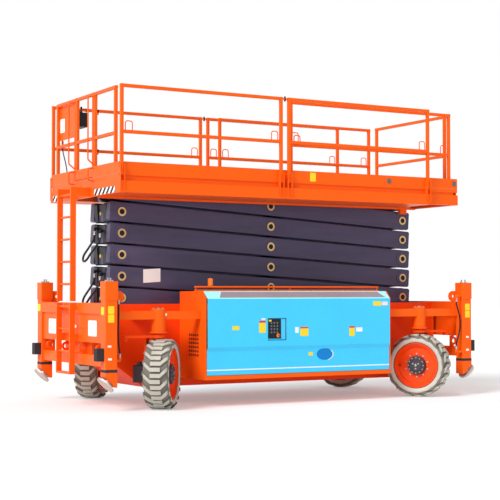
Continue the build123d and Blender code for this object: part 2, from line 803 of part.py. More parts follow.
def knuckle(end, side):
    """Kingpin, plate over the tyre, tapered side plate, drive motor, spindle and steering arm."""
    plate_top = knuckle_plate_bottom + knuckle_plate_thickness
    side_in = tyre_width / 2 - scrub + tyre_side_gap
    side_out = side_in + knuckle_side_thickness
    half = kingpin_housing_radius
    part = bar_z(0, 0, knuckle_plate_bottom, side_beam_bottom, kingpin_radius)
    part += bar_z(0, 0, knuckle_plate_bottom, plate_top, half)
    part += block(-half, half, 0, side_out, knuckle_plate_bottom, plate_top)
    outline = (
        (-half, plate_top),
        (-half, knuckle_taper_top),
        (-knuckle_foot_half_width, knuckle_side_bottom),
        (knuckle_foot_half_width, knuckle_side_bottom),
        (half, knuckle_taper_top),
        (half, plate_top),
    )
    part += side_profile(outline, side_in, side_out)
    part -= bar_y(0, side_in, side_out, knuckle_hole_z, knuckle_hole_radius)
    motor_low = tyre_radius - motor_height / 2
    motor_high = tyre_radius + motor_height / 2
    part += tube_y(-motor_width / 2, motor_width / 2, side_out, side_out + motor_length,
                   motor_low, motor_high, motor_corner)
    for x in (-motor_port_radius * 1.5, motor_port_radius * 1.5):
        part += bar_z(x, side_out + motor_length / 2, motor_high, motor_high + motor_port_length,
                      motor_port_radius)
    spindle_tip = -scrub - rim_width / 2 + disc_setback
    part += bar_y(0, spindle_tip, side_in, tyre_radius, spindle_radius)
    arm_angle = 90 + (90 - steer_lock) * end * side
    arm = block(0, steer_arm_reach, -steer_arm_radius, steer_arm_radius, knuckle_plate_bottom, plate_top)
    arm += bar_z(steer_arm_reach, 0, knuckle_plate_bottom, plate_top, steer_arm_radius)
    arm += bar_z(steer_arm_reach, 0, knuckle_plate_bottom - steer_ball_height, knuckle_plate_bottom,
                 steer_ball_radius)
    part += Rot(0, 0, arm_angle) * arm
    return place_wheel_part(part, end, side)


def about_axle(wires):
    """Solid of revolution about the axle from wires of (outward, radius); outward is along -Y."""
    placed = Plane(origin=(0, -scrub, tyre_radius), x_dir=(0, -1, 0), z_dir=(1, 0, 0))
    face = placed * make_face(wires)
    return revolve(face, Axis((0, 0, tyre_radius), (0, 1, 0)))


def tyre_casing():
    """Casing with bulged sidewalls and a crowned crown, open at the rim."""
    bead = rim_width / 2 - casing_bulge
    bulge = tyre_width / 2 - casing_bulge
    middle = (rim_radius + tyre_radius) / 2
    shoulder = tyre_width / 2 - tyre_shoulder
    tread_base = tyre_radius - tread_depth
    shoulder_radius = tread_base - casing_bulge
    wires = [
        Line((-bead, rim_radius), (bead, rim_radius)),
        ThreePointArc((bead, rim_radius), (bulge, middle - casing_bulge), (shoulder, shoulder_radius)),
        ThreePointArc((shoulder, shoulder_radius), (0, tread_base), (-shoulder, shoulder_radius)),
        ThreePointArc((-shoulder, shoulder_radius), (-bulge, middle - casing_bulge), (-bead, rim_radius)),
    ]
    return about_axle(wires)


def tread_ring():
    """Envelope of the tread lugs, from inside the casing out to the worn surface."""
    half = tyre_width / 2
    low = tyre_radius - tread_depth - 2 * casing_bulge
    corner = tyre_radius - tyre_shoulder
    points = (
        (-half + tyre_shoulder, low),
        (-half, low - casing_bulge),
        (-half, corner),
        (-half + tyre_shoulder, tyre_radius - casing_bulge / 2),
        (0, tyre_radius),
        (half - tyre_shoulder, tyre_radius - casing_bulge / 2),
        (half, corner),
        (half, low - casing_bulge),
        (half - tyre_shoulder, low),
    )
    return about_axle(Polyline(*points, close=True))


def tread_lug(side):
    """One tread bar at the tyre's foot: straight over the middle, then swept back to a shoulder."""
    reach = tyre_width / 2
    half_bar = lug_bar / 2
    outline = (
        (-half_bar, -side * lug_bar_flat),
        (half_bar, -side * lug_bar_flat),
        (half_bar, side * lug_bar_flat),
        (half_bar - lug_bar_sweep, side * reach),
        (-half_bar - lug_bar_sweep, side * reach),
        (-half_bar, side * lug_bar_flat),
    )
    bar = extrude(make_face(Polyline(*[(x, y - scrub, 0) for x, y in outline], close=True)),
                  amount=tyre_radius / 2, dir=(0, 0, 1))
    return bar & tread_ring()


def tyre():
    """Casing with two staggered rows of tread lugs, on the right side."""
    pitch = 360 / tread_lugs
    axle = Axis((0, 0, tyre_radius), (0, 1, 0))
    lugs = []
    for side, first in ((1, 0), (-1, pitch / 2)):
        lug = tread_lug(side)
        lugs += [lug.rotate(axle, first + number * pitch) for number in range(tread_lugs)]
    return tyre_casing().fuse(*lugs)


def rim():
    """Dished rim with a stepped barrel, wheel bolts and hub, bored for the spindle."""
    half = rim_width / 2
    seat = rim_radius - seat_gap
    inside = rim_radius - rim_wall
    bore = spindle_radius + spindle_clearance
    disc_out = half - disc_setback
    points = (
        (-half, inside),
        (-half, seat),
        (half, seat),
        (half, inside),
        (half - rim_step_depth, inside),
        (half - rim_step_depth, rim_step_radius),
        (disc_out, rim_step_radius - rim_wall),
        (disc_out, hub_radius),
        (half, hub_radius - rim_wall),
        (half, hub_cap_radius),
        (half + hub_cap_proud, hub_cap_radius - rim_wall),
        (half + hub_cap_proud, 0),
        (disc_out + spindle_clearance, 0),
        (disc_out + spindle_clearance, bore),
        (disc_out - disc_thickness, bore),
        (disc_out - disc_thickness, rim_step_radius),
        (half - rim_step_depth - disc_thickness, rim_step_radius),
        (half - rim_step_depth - disc_thickness, inside),
    )
    wheel = about_axle(Polyline(*points, close=True))
    bolt = bar_y(0, -scrub - disc_out - wheel_bolt_proud, -scrub - disc_out,
                 tyre_radius + wheel_bolt_circle, wheel_bolt_radius)
    axle = Axis((0, 0, tyre_radius), (0, 1, 0))
    bolts = [bolt.rotate(axle, number * 360 / wheel_bolts) for number in range(wheel_bolts)]
    return wheel.fuse(*bolts)


# ---- Outrigger legs ---------------------------------------------------------------
def leg(end, side):
    """Sliding leg: slim tube in the housing above a full-width foot cut at 45 degrees."""
    x = end * leg_x
    y = side * leg_y
    foot_top = leg_housing_bottom - wiper_height - seat_gap
    slim = leg_housing - 2 * leg_housing_wall - 2 * leg_clearance
    part = Pos(x, y, (foot_top + leg_top) / 2) * Box(slim, slim, leg_top - foot_top)
    inner = x - end * leg_half
    outer = x + end * leg_half
    tip_flat = leg_housing / 6
    foot = (
        (inner, foot_top),
        (inner, leg_foot),
        (inner + end * tip_flat, leg_foot),
        (outer, leg_foot + leg_housing - tip_flat),
        (outer, foot_top),
    )
    part += side_profile(foot, y - leg_half, y + leg_half)
    return Compound(children=[part, foot_pad(end, side)])


def foot_pad(end, side):
    """Round pad on a stem, square to the foot's 45 degree cut."""
    tip_flat = leg_housing / 6
    middle_x = end * (leg_x + tip_flat / 2)
    middle_z = leg_foot + (leg_housing - tip_flat) / 2
    pad = Pos(0, 0, -pad_stem / 2) * Cylinder(pad_stem_radius, pad_stem)
    pad += Pos(0, 0, -pad_stem - pad_thickness / 2) * Cylinder(pad_radius, pad_thickness)
    return Pos(middle_x, side * leg_y, middle_z) * Rot(0, -end * 45, 0) * pad


def wiper(end, side):
    """Square wiper ring under a leg housing."""
    z = leg_housing_bottom - wiper_height / 2
    bore = leg_housing - 2 * leg_housing_wall
    ring = Box(leg_housing, leg_housing, wiper_height) - Box(bore, bore, wiper_height)
    return Pos(end * leg_x, side * leg_y, z) * ring


def bumper(end, side):
    """Rubber block with rounded edges on the outer end face of a leg housing."""
    x0, x1 = sorted((end * leg_outer_face, end * (leg_outer_face + bumper_depth)))
    y = side * bumper_y
    return tube_x(x0, x1, y - bumper_width / 2, y + bumper_width / 2,
                  bumper_center_z - bumper_height / 2, bumper_center_z + bumper_height / 2, bumper_corner)


# ---- Cabinets ---------------------------------------------------------------------
def cabinet_tray(side):
    """Sill, end plates, inner wall, hinge bar and top rail of one cabinet."""
    rear = cabinet_rear - end_plate_gap - tray_plate
    front = cabinet_front + end_plate_gap + tray_plate
    tray = block(rear, front, side * girder_half_width, side * (cabinet_side - cabinet_step),
                 sill_bottom, cabinet_bottom - end_plate_gap)
    end_outline = (
        (side * girder_half_width, sill_bottom),
        (side * (cabinet_side - cabinet_step), sill_bottom),
        (side * (cabinet_side - cabinet_step), cabinet_shoulder),
        (side * (cabinet_side - cabinet_slope_run), cabinet_top),
        (side * girder_half_width, cabinet_top),
    )
    tray += end_profile(end_outline, rear, cabinet_rear - end_plate_gap)
    tray += end_profile(end_outline, cabinet_front + end_plate_gap, front)
    wall_out = side * (cabinet_hinge_y - hinge_sleeve - slide_gap)
    wall_in = wall_out - side * tray_plate
    wall_y = (wall_in + wall_out) / 2
    tray += block(rear, front, wall_in, wall_out, cabinet_shoulder, cabinet_wall_top)
    tray += bar_x(rear, front, side * cabinet_hinge_y, cabinet_top - hinge_sleeve, hinge_radius)
    tray += bar_x(rear, front, wall_y, top_rail_z, top_rail_radius)
    for x in (rear + tray_plate, (rear + front) / 2, front - tray_plate):
        tray += bar_z(x, wall_y, cabinet_wall_top, top_rail_z, top_rail_radius / 2)
    return tray


def cover_outline(side, inset):
    """Cross-section of the cover's skin, moved inward by an inset, from the sill up to the hinge."""
    face = cabinet_side - inset
    return [
        (side * (face - cabinet_step), cabinet_bottom),
        (side * (face - cabinet_step), cabinet_step_bottom),
        (side * face, cabinet_step_top),
        (side * face, cabinet_shoulder - inset / 2),
        (side * (face - cabinet_slope_run + inset / 2), cabinet_top - inset),
        (side * cabinet_hinge_y, cabinet_top - inset),
    ]


def cabinet_cover(side):
    """Hinged sheet cover with its step, sloped shoulder and top."""
    outline = cover_outline(side, 0) + cover_outline(side, cabinet_skin)[::-1]
    cover = end_profile(outline, cabinet_rear, cabinet_front)
    hinge_z = cabinet_top - hinge_sleeve
    cover += bar_x(cabinet_rear, cabinet_front, side * cabinet_hinge_y, hinge_z, hinge_sleeve)
    cover -= bar_x(cabinet_rear, cabinet_front, side * cabinet_hinge_y, hinge_z,
                   hinge_radius + spindle_clearance)
    if side < 0:
        cover -= block(control_rear, control_front, -cabinet_side, -cabinet_side + 2 * cabinet_skin,
                       control_bottom, control_top)
    return cover


def control_panel():
    """Ground control box with a bevelled rear edge, seen through the right cover's window."""
    face = -cabinet_side + cabinet_skin + slide_gap
    box = block(control_rear - slide_gap, control_front + slide_gap, face, -equipment_face,
                control_bottom - slide_gap, control_top + slide_gap)
    edges = box.faces().sort_by(Axis.Y)[0].edges()
    return chamfer(edges, control_bevel / 2)


def rounded_block(x0, x1, y0, y1, z0, z1):
    """Block between two planes along each axis, with rounded upright edges."""
    return tube_z(x0, x1, min(y0, y1), max(y0, y1), z0, z1, equipment_corner)


def right_equipment():
    """Fuel tank with its filler, and the battery and valve pack behind it."""
    rear = cabinet_rear + equipment_margin
    front = cabinet_front - equipment_margin
    inner = -girder_half_width - tray_plate
    floor = cabinet_bottom - end_plate_gap
    tank_top = cabinet_shoulder - tank_drop
    tank = rounded_block(front - tank_length, front, inner, -equipment_face, floor, tank_top)
    tank += bar_z(front - tank_length / 2, (inner - equipment_face) / 2, tank_top,
                  tank_top + filler_height, filler_radius)
    pack = rounded_block(rear, rear + pack_length, inner, -equipment_face, floor,
                         cabinet_shoulder - pack_drop)
    return Compound(children=[tank, pack])


def left_equipment():
    """Engine block with its head, radiator and air filter."""
    rear = cabinet_rear + equipment_margin
    inner = girder_half_width + tray_plate
    floor = cabinet_bottom - end_plate_gap
    engine_top = cabinet_shoulder - engine_drop
    head_top = engine_top + engine_head_height
    engine = rounded_block(rear + radiator_length, rear + radiator_length + engine_length,
                           inner, equipment_face, floor, engine_top)
    engine += rounded_block(rear + radiator_length + engine_head_inset,
                            rear + radiator_length + engine_length - engine_head_inset,
                            inner + engine_head_inset, equipment_face - engine_head_inset,
                            engine_top, head_top)
    engine += block(rear, rear + radiator_length, inner, equipment_face, floor, head_top)
    filter_x = rear + radiator_length + engine_length + engine_head_inset
    filter_z = engine_top - filter_radius
    middle_y = (inner + equipment_face) / 2
    air_filter = bar_x(filter_x, filter_x + filter_length, middle_y, filter_z, filter_radius)
    air_filter += bar_z(filter_x + filter_length / 2, middle_y, floor, filter_z, filter_radius / 2)
    air_filter += bar_x(filter_x - engine_head_inset, filter_x, middle_y, filter_z, filter_radius / 2)
    return engine + air_filter


def beacon():
    """Warning beacon on a bracket behind the right cabinet's hinge wall."""
    wall_in = -(cabinet_hinge_y - hinge_sleeve - slide_gap - tray_plate)
    y = wall_in + beacon_radius + slide_gap
    bracket = block(beacon_x - beacon_radius, beacon_x + beacon_radius, wall_in, y,
                    cabinet_wall_top - tray_plate, cabinet_wall_top)
    base_top = cabinet_wall_top + beacon_base
    base = bar_z(beacon_x, y, cabinet_wall_top, base_top, beacon_radius)
    dome = bar_z(beacon_x, y, base_top, base_top + beacon_dome, beacon_radius - dome_inset)
    dome = fillet(dome.edges().filter_by(GeomType.CIRCLE).sort_by(Axis.Z)[-1], beacon_radius / 2)
    return bracket + base + dome


# ---- Ladders ----------------------------------------------------------------------
def ladder(back_x, bottom, top):
    """Two stringers and their rungs, behind a plane."""
    front_x = back_x + stringer_depth
    frame = both_sides(block(back_x, front_x, ladder_half_width - stringer_width, ladder_half_width,
                             bottom, top))
    middle_x = back_x + stringer_depth / 2
    first = int((bottom - low_ladder_bottom) // rung_pitch) + 1
    last = int((top - low_ladder_bottom) // rung_pitch)
    for number in range(first, last + 1):
        z = low_ladder_bottom + number * rung_pitch
        if bottom + rung_radius < z < top - rung_radius:
            frame += bar_y(middle_x, -ladder_half_width + stringer_width,
                           ladder_half_width - stringer_width, z, rung_radius)
    return frame


def low_ladder():
    """Lower ladder, held by two stand-offs on the rear end frame."""
    frame = ladder(ladder_x, low_ladder_bottom, low_ladder_top)
    front_x = ladder_x + stringer_depth
    frame += block(ladder_x, front_x, -ladder_half_width, ladder_half_width,
                   low_ladder_bottom, low_ladder_bottom + stringer_width)
    beam_z = (end_beam_bottom + end_beam_top) / 2
    inner = ladder_half_width - stringer_width
    frame += both_sides(block(front_x, -leg_outer_face, inner, ladder_half_width,
                              beam_z - stringer_width, beam_z + stringer_width))
    frame += both_sides(block(front_x, -end_plate_out, inner, ladder_half_width,
                              end_plate_bottom, ladder_bracket_bottom + stringer_depth))
    return frame


def high_ladder():
    """Upper ladder, hung from the platform's rear beam."""
    back_x = ladder_x + high_ladder_step
    high_ladder_top = side_frame_top - stringer_width
    frame = ladder(back_x, high_ladder_bottom, high_ladder_top)
    frame += both_sides(block(back_x + stringer_depth, platform_rear,
                              ladder_half_width - stringer_width, ladder_half_width,
                              side_frame_bottom, high_ladder_top))
    return frame


# ---- Platform ---------------------------------------------------------------------
def platform_joist():
    """Left joist: upright with the roller's track in its inner side, and the stop under its front."""
    joist = block(platform_rear + side_frame_width, joist_front, girder_in, joist_out,
                  joist_bottom, floor_bottom)
    joist -= track_slot(top_pin_height, girder_in, roller_out + slide_gap)
    joist -= bar_y(-half_run, girder_in, joist_out, top_pin_height, pin_radius + pin_clearance)
    joist += block(joist_front, stop_front, girder_in, joist_out, joist_bottom, side_frame_bottom)
    joist += block(stop_rear, stop_rear + 2 * side_frame_width, girder_in, joist_out,
                   joist_bottom - stop_drop, joist_bottom)
    return joist


def post_positions():
    """X of the side guard rails' posts, panel by panel."""
    last = panel_front - rail_half - slide_gap
    middle = (rear_post_x + last - panel_gap) / 2
    return ((rear_post_x, middle), (middle + panel_gap, last))


def post_ears(x):
    """Two ear plates and their pins, which hold a left guard rail post against the side beam."""
    ear_in = rail_plane_y - rail_half + seat_gap
    ear_edge = rail_plane_y + rail_half + ear_out
    plate_in = rail_half + ear_gap
    plate_out = plate_in + ear_thickness
    ears = block(x - plate_out, x - plate_in, ear_in, ear_edge, floor_top - ear_bottom, floor_top + ear_top)
    ears += block(x + plate_in, x + plate_out, ear_in, ear_edge, floor_top - ear_bottom, floor_top + ear_top)
    for height in ear_pin_heights:
        ears += bar_x(x - plate_out - ear_thickness, x + plate_out + ear_thickness, rail_plane_y,
                      floor_top + height, ear_pin_radius)
    return ears


def step_hoop():
    """Hand hoop behind the rear beam, beside the gate."""
    y = gate_half_width + rail_half
    back = platform_rear - step_hoop_out
    low = floor_top - step_hoop_bottom
    high = floor_top + step_hoop_top
    points = ((platform_rear, y, low), (back, y, low), (back, y, high), (platform_rear - seat_gap, y, high))
    return bent_rod(points, grab_rod, grab_bend)


def cable_gland():
    """Gland on the platform's floor at the console cable's foot."""
    y, z = CABLE_ROUTE[-1]
    return bar_z(cable_x, y, floor_top, z, cable_gland_radius)


def side_frame():
    """Left side beam with its web, closed underside and guard rail ears."""
    beam = block(platform_rear, panel_front, frame_in, frame_out, side_frame_bottom, side_frame_top)
    for panel in post_positions():
        for x in panel:
            beam += post_ears(x)
    return beam


def platform_deck():
    """Floor plate, side beams, webs, end beams, joists and the wings' closed underside."""
    floor_half = rail_plane_y - rail_half - toe_thickness - seat_gap
    floor = block(platform_rear, panel_front, -floor_half, floor_half, floor_bottom, floor_top)
    rear_beam = block(platform_rear, platform_rear + side_frame_width, -web_in, web_in,
                      side_frame_bottom, floor_bottom)
    rear_beam += both_sides(step_hoop())
    floor += cable_gland()
    slot_in = extension_beam_in - extension_beam_gap
    slot_top = extension_beam_top + extension_beam_gap
    front_in = panel_front - side_frame_width
    left_pieces = (
        side_frame(),
        block(platform_rear, panel_front, web_in, frame_in, side_frame_bottom, floor_bottom),
        block(platform_rear + side_frame_width, panel_front, joist_out, web_in,
              side_frame_bottom, side_frame_bottom + pan_thickness),
        platform_joist(),
        block(front_in, panel_front, joist_out, slot_in, side_frame_bottom + pan_thickness, floor_bottom),
        block(front_in, panel_front, slot_in, web_in, slot_top, floor_bottom),
    )
    return Compound(children=[floor, rear_beam, *mirrored(left_pieces)])


def toe_boards():
    """Kick plates along both sides and the rear, either side of the gate."""
    face = rail_plane_y - rail_half
    boards = both_sides(block(platform_rear, panel_front, face - toe_thickness, face, toe_bottom, toe_top))
    boards += both_sides(block(platform_rear, platform_rear + toe_thickness, gate_half_width,
                               face - toe_thickness, floor_top, toe_top))
    return boards


def rail_x(x0, x1, y, z_top):
    """Square rail along X, named by its top."""
    return tube_x(x0, x1, y - rail_half, y + rail_half, z_top - rail_tube, z_top, rail_corner)


def rail_y(x, y0, y1, z_top):
    """Square rail along Y, named by its top."""
    return tube_y(x - rail_half, x + rail_half, y0, y1, z_top - rail_tube, z_top, rail_corner)


def rail_post(x, y, z0, z1):
    """Square post."""
    return tube_z(x - rail_half, x + rail_half, y - rail_half, y + rail_half, z0, z1, rail_corner)


def tie_off_hoop(x, y, rail):
    """Hoop for a safety line, standing on a mid rail."""
    low = rail - rail_half
    high = rail + hoop_height
    x1 = x + hoop_length
    return bent_rod(((x, y, low), (x, y, high), (x1, y, high), (x1, y, low)), hoop_rod, hoop_bend)


def rail_frame(x0, x1, y, foot, top, middle):
    """Bars of a guard rail panel: two posts, top rail, and mid rail with a hoop by each post."""
    inset = rail_tube + hoop_rod
    return [
        rail_post(x0, y, foot, top),
        rail_post(x1, y, foot, top),
        rail_x(x0 - rail_half, x1 + rail_half, y, top),
        rail_x(x0, x1, y, middle),
        tie_off_hoop(x0 + inset, y, middle),
        tie_off_hoop(x1 - inset - hoop_length, y, middle),
    ]


def side_rail(side):
    """Two guard rail panels on one side, linked by a lock pin at the top."""
    y = side * rail_plane_y
    bars = []
    for x0, x1 in post_positions():
        bars += rail_frame(x0, x1, y, floor_top - post_drop, rail_top, mid_rail_z)
    (_, rear_end), (front_end, _) = post_positions()
    link_z = rail_top - rail_half
    bars.append(block(rear_end, front_end, y - link_half_width, y + link_half_width,
                      link_z - link_height / 2, link_z + link_height / 2))
    knob_x = (rear_end + front_end) / 2
    bars.append(bar_z(knob_x, y, link_z - knob_height, link_z + knob_height, knob_radius))
    rails = joined(bars)
    for panel in post_positions():
        for x in panel:
            for height in ear_pin_heights:
                rails -= bar_x(x - rail_tube, x + rail_tube, y, floor_top + height,
                               ear_pin_radius + spindle_clearance)
    return rails


def grab_rail():
    """Grab rail behind the left gate post, bent back to it at both ends."""
    y = gate_half_width + rail_half
    back = rear_post_x - rail_half - grab_out
    high = rail_top - grab_top
    low = floor_top + grab_bottom
    points = ((rear_post_x, y, high), (back, y, high), (back, y, low), (rear_post_x, y, low - grab_out))
    return bent_rod(points, grab_rod, grab_bend)


def rear_rails():
    """Rear guard rails between the corners and the gate, with grab rails and the gate's hinge pins."""
    x = rear_post_x
    outer_y = rear_rail_half_width
    inner_y = gate_half_width + rail_half
    rail_bottom = rail_top - rail_tube
    solids = mirrored((
        rail_post(x, outer_y, floor_top, rail_bottom),
        rail_y(x, gate_half_width, outer_y + rail_half, rail_top),
        rail_y(x, inner_y + rail_half, outer_y - rail_half, mid_rail_z),
    ))
    left_post = joined((rail_post(x, inner_y, floor_top, rail_bottom), grab_rail()))
    hinges = []
    for z in gate_hinges:
        hinges.append(block(x, gate_hinge_x, -gate_half_width - rail_tube, -gate_half_width,
                            z - gate_sleeve, z - gate_pin))
        hinges.append(bar_z(gate_hinge_x, -gate_half_width, z - gate_sleeve, z + gate_sleeve, gate_pin))
    right_post = joined([mirror(left_post, about=Plane.XZ), *hinges])
    sheet_x = x + rail_half - sheet_thickness
    low = floor_top + sheet_bottom
    sheet = block(sheet_x, x + rail_half, sheet_inner_y, outer_y - rail_half, low, rail_bottom)
    strap = block(sheet_x, x + rail_half, inner_y + rail_half, sheet_inner_y, low, low + rail_tube)
    return Compound(children=[*solids, left_post, right_post, sheet, strap])


def gate():
    """Gate with its own kick plate, which swings inward on two sleeves between the rear posts."""
    x = rear_post_x
    reach = gate_half_width - gate_gap
    bottom = floor_top + gate_toe_gap
    bars = [
        rail_post(x, -reach + rail_half, bottom, rail_top),
        rail_post(x, reach - rail_half, bottom, rail_top),
        rail_y(x, -reach, reach, rail_top),
        rail_y(x, -reach + rail_half, reach - rail_half, mid_rail_z),
        block(x - rail_half, x - rail_half + toe_thickness, -reach, reach, bottom, toe_top),
    ]
    for z in gate_hinges:
        low = z - gate_pin + seat_gap
        high = z + gate_sleeve
        bars.append(block(x, gate_hinge_x, -reach, -reach + rail_tube, low, high))
        bars.append(bar_z(gate_hinge_x, -gate_half_width, low, high, gate_sleeve / 2))
        bars.append(block(gate_hinge_x - gate_pin, gate_hinge_x, -gate_half_width, -reach, low, high))
    part = joined(bars)
    for z in gate_hinges:
        part -= bar_z(gate_hinge_x, -gate_half_width, z - gate_sleeve, z + gate_sleeve,
                      gate_pin + spindle_clearance)
    return part


def extension_side(rear, front):
    """Left side of the sliding deck: kick plate, connecting plate and nested beam, as solids."""
    edge = extension_deck_y
    inner = edge - toe_thickness
    box_rear = panel_front + extension_box_gap
    low = floor_top - extension_toe_drop
    high = toe_top + extension_toe_rise
    outline = (
        (rear, extension_floor),
        (box_rear, extension_floor),
        (box_rear, low),
        (front, low),
        (front, high),
        (rear, high),
    )
    plate_out = inner - toe_thickness
    return [
        side_profile(outline, inner, edge),
        block(box_rear, front - extension_beam_width, plate_out - side_web, plate_out,
              extension_beam_top, extension_floor),
        block(rear, front + side_web - extension_beam_width, extension_beam_in, edge,
              extension_beam_bottom, extension_beam_top),
    ]


def extension_deck():
    """Sliding deck: floor on runners over the main floor, nested beams, front box and kick plates."""
    rear = extension_rail_rear
    front = extension_front
    inner = extension_deck_y - toe_thickness
    front_in = front - toe_thickness
    left_pieces = extension_side(rear, front)
    for y in runner_y:
        left_pieces.append(block(rear, panel_front, y, y + runner_width, floor_top + seat_gap,
                                 extension_floor))
    plate_front = front_in - toe_thickness
    solids = [
        block(rear, front_in, -inner, inner, extension_floor, extension_floor + floor_thickness),
        block(front_in, front, -inner, inner, floor_top - extension_toe_drop, toe_top + extension_toe_rise),
        block(plate_front - side_web, plate_front, -inner, inner, extension_beam_top, extension_floor),
        block(front + side_web - extension_beam_width, front + side_web, -extension_deck_y, extension_deck_y,
              extension_beam_bottom, extension_beam_top),
    ]
    return Compound(children=solids + mirrored(left_pieces))


def extension_rails():
    """Side and front guard rails that ride on the sliding deck."""
    foot = extension_floor + floor_thickness
    top = rail_top - extension_rail_drop
    middle = mid_rail_z - extension_rail_drop
    end_x = extension_end_rail_x
    end_y = extension_end_rail_y
    bars = rail_frame(extension_rail_rear + rail_half, extension_rail_front, extension_rail_y,
                      foot, top, middle)
    bars.append(rail_post(end_x, end_y, foot, top))
    bars = mirrored(bars)
    bars.append(rail_y(end_x, -end_y - rail_half, end_y + rail_half, top))
    bars.append(rail_y(end_x, -end_y, end_y, middle))
    return joined(bars)


def console():
    """Platform control box inside the rear rail, with its guard hoop and cable gland."""
    x0 = rear_post_x + rail_half
    y0 = gate_half_width
    y1 = gate_half_width + console_width
    bottom = floor_top + console_bottom
    top = bottom + console_height
    box = tube_z(x0, x0 + console_depth, y0, y1, bottom, top, console_corner)
    hoop_x = x0 + console_depth - rail_half
    hoop_top = top + guard_rise
    points = ((hoop_x, y0 + rail_half, top), (hoop_x, y0 + rail_half, hoop_top),
              (hoop_x, y1 - rail_half, hoop_top), (hoop_x, y1 - rail_half, top))
    box += bent_rod(points, guard_rod, 3 * guard_rod)
    gland_y, gland_z = CABLE_ROUTE[0]
    return box + bar_y(cable_x, y1, gland_y, gland_z, cable_gland_radius)


def console_cable():
    """Cable that hangs from the console to the platform's floor."""
    return hose("console_cable", [(cable_x, y, z) for y, z in CABLE_ROUTE], cable_radius)


# ---- Every piece, by name ---------------------------------------------------------
pieces = {
    "main_frame": main_frame(),
    "front_end_frame": end_frame(1),
    "rear_end_frame": end_frame(-1),
    "right_equipment": right_equipment(),
    "left_equipment": left_equipment(),
    "control_panel": control_panel(),
    "beacon": beacon(),
    "low_ladder": low_ladder(),
    "high_ladder": high_ladder(),
    "platform_deck": platform_deck(),
    "toe_boards": toe_boards(),
    "rear_rails": rear_rails(),
    "gate": gate(),
    "console": console(),
    "console_cable": console_cable(),
    "extension_deck": extension_deck(),
    "extension_rails": extension_rails(),
}
for stage in range(1, stage_count + 1):
    pieces[f"outer_arm_{stage}"] = outer_arm(stage)
    pieces[f"inner_arm_{stage}"] = inner_arm(stage)
for number, stage in enumerate(cylinder_stages, 1):
    pieces[f"lift_cylinder_{number}"] = cylinder_barrel(stage)
    pieces[f"lift_rod_{number}"] = cylinder_rod(stage)
for stage in arm_hose_stages:
    pieces[f"arm_hose_{stage}"] = arm_hose(stage)
right_tyre = tyre()
left_tyre = mirror(right_tyre, about=Plane.YZ)
wheel_rim = rim()
for name, end, side in CORNERS:
    pieces[f"knuckle_{name}"] = knuckle(end, side)
    pieces[f"rim_{name}"] = place_wheel_part(wheel_rim, end, side)
    pieces[f"tyre_{name}"] = place_wheel_part(left_tyre if side > 0 else right_tyre, end, side)
    pieces[f"leg_{name}"] = leg(end, side)
    if side < 0:
        pieces[f"leg_hose_{name}"] = hose(f"leg_hose_{name}", leg_hose_points(end), leg_hose_radius)
for name, side in SIDES:
    pieces[f"cabinet_tray_{name}"] = cabinet_tray(side)
    pieces[f"cabinet_cover_{name}"] = cabinet_cover(side)
    pieces[f"side_rail_{name}"] = side_rail(side)
rubber = [bumper(end, side) for _, end, side in CORNERS]
rubber += [wiper(end, side) for _, end, side in CORNERS]
pieces["bumpers_and_wipers"] = Compound(children=rubber)

os.makedirs("parts", exist_ok=True)
for name, shape in pieces.items():
    export_step(shape, f"parts/{name}.step")
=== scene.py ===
import bpy
import bmesh
import json
from math import cos, pi, sin
from mathutils import Matrix, Vector


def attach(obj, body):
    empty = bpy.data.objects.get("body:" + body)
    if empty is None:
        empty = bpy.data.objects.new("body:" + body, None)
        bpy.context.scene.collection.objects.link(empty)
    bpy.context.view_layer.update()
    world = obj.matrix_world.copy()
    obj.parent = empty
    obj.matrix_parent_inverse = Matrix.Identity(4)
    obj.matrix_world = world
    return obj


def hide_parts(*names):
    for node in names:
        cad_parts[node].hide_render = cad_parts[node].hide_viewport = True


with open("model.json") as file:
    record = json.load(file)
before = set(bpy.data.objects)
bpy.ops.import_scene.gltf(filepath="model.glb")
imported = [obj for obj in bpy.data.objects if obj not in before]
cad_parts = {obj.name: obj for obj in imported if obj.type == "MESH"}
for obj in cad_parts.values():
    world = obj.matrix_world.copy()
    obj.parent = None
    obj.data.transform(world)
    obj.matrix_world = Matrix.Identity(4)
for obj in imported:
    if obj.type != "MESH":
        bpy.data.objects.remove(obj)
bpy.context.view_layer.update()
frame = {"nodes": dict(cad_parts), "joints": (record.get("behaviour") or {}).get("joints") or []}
joints = {joint["name"]: joint for joint in frame["joints"]}
CORNERS = ("front_left", "front_right", "rear_left", "rear_right")

# ---- Camera -----------------------------------------------------------------------
# Fitted to the photo: metres, radians and millimetres
CAMERA_AT = (-9.710, -16.677, 1.538)
CAMERA_YAW = 0.5203
CAMERA_PITCH = 0.0324
CAMERA_ROLL = -0.0006
CAMERA_LENS = 94.08
CAMERA_SENSOR = 36.0
CAMERA_CLIP_END = 200.0

cam_data = bpy.data.cameras.new("camera")
cam_data.lens = CAMERA_LENS
cam_data.sensor_width = CAMERA_SENSOR
cam_data.clip_end = CAMERA_CLIP_END
camera = bpy.data.objects.new("camera", cam_data)
bpy.context.scene.collection.objects.link(camera)
view_line = Vector((sin(CAMERA_YAW) * cos(CAMERA_PITCH), cos(CAMERA_YAW) * cos(CAMERA_PITCH),
                    sin(CAMERA_PITCH)))
turn = view_line.to_track_quat("-Z", "Y").to_matrix() @ Matrix.Rotation(CAMERA_ROLL, 3, "Z")
camera.matrix_world = Matrix.Translation(CAMERA_AT) @ turn.to_4x4()
bpy.context.scene.camera = camera


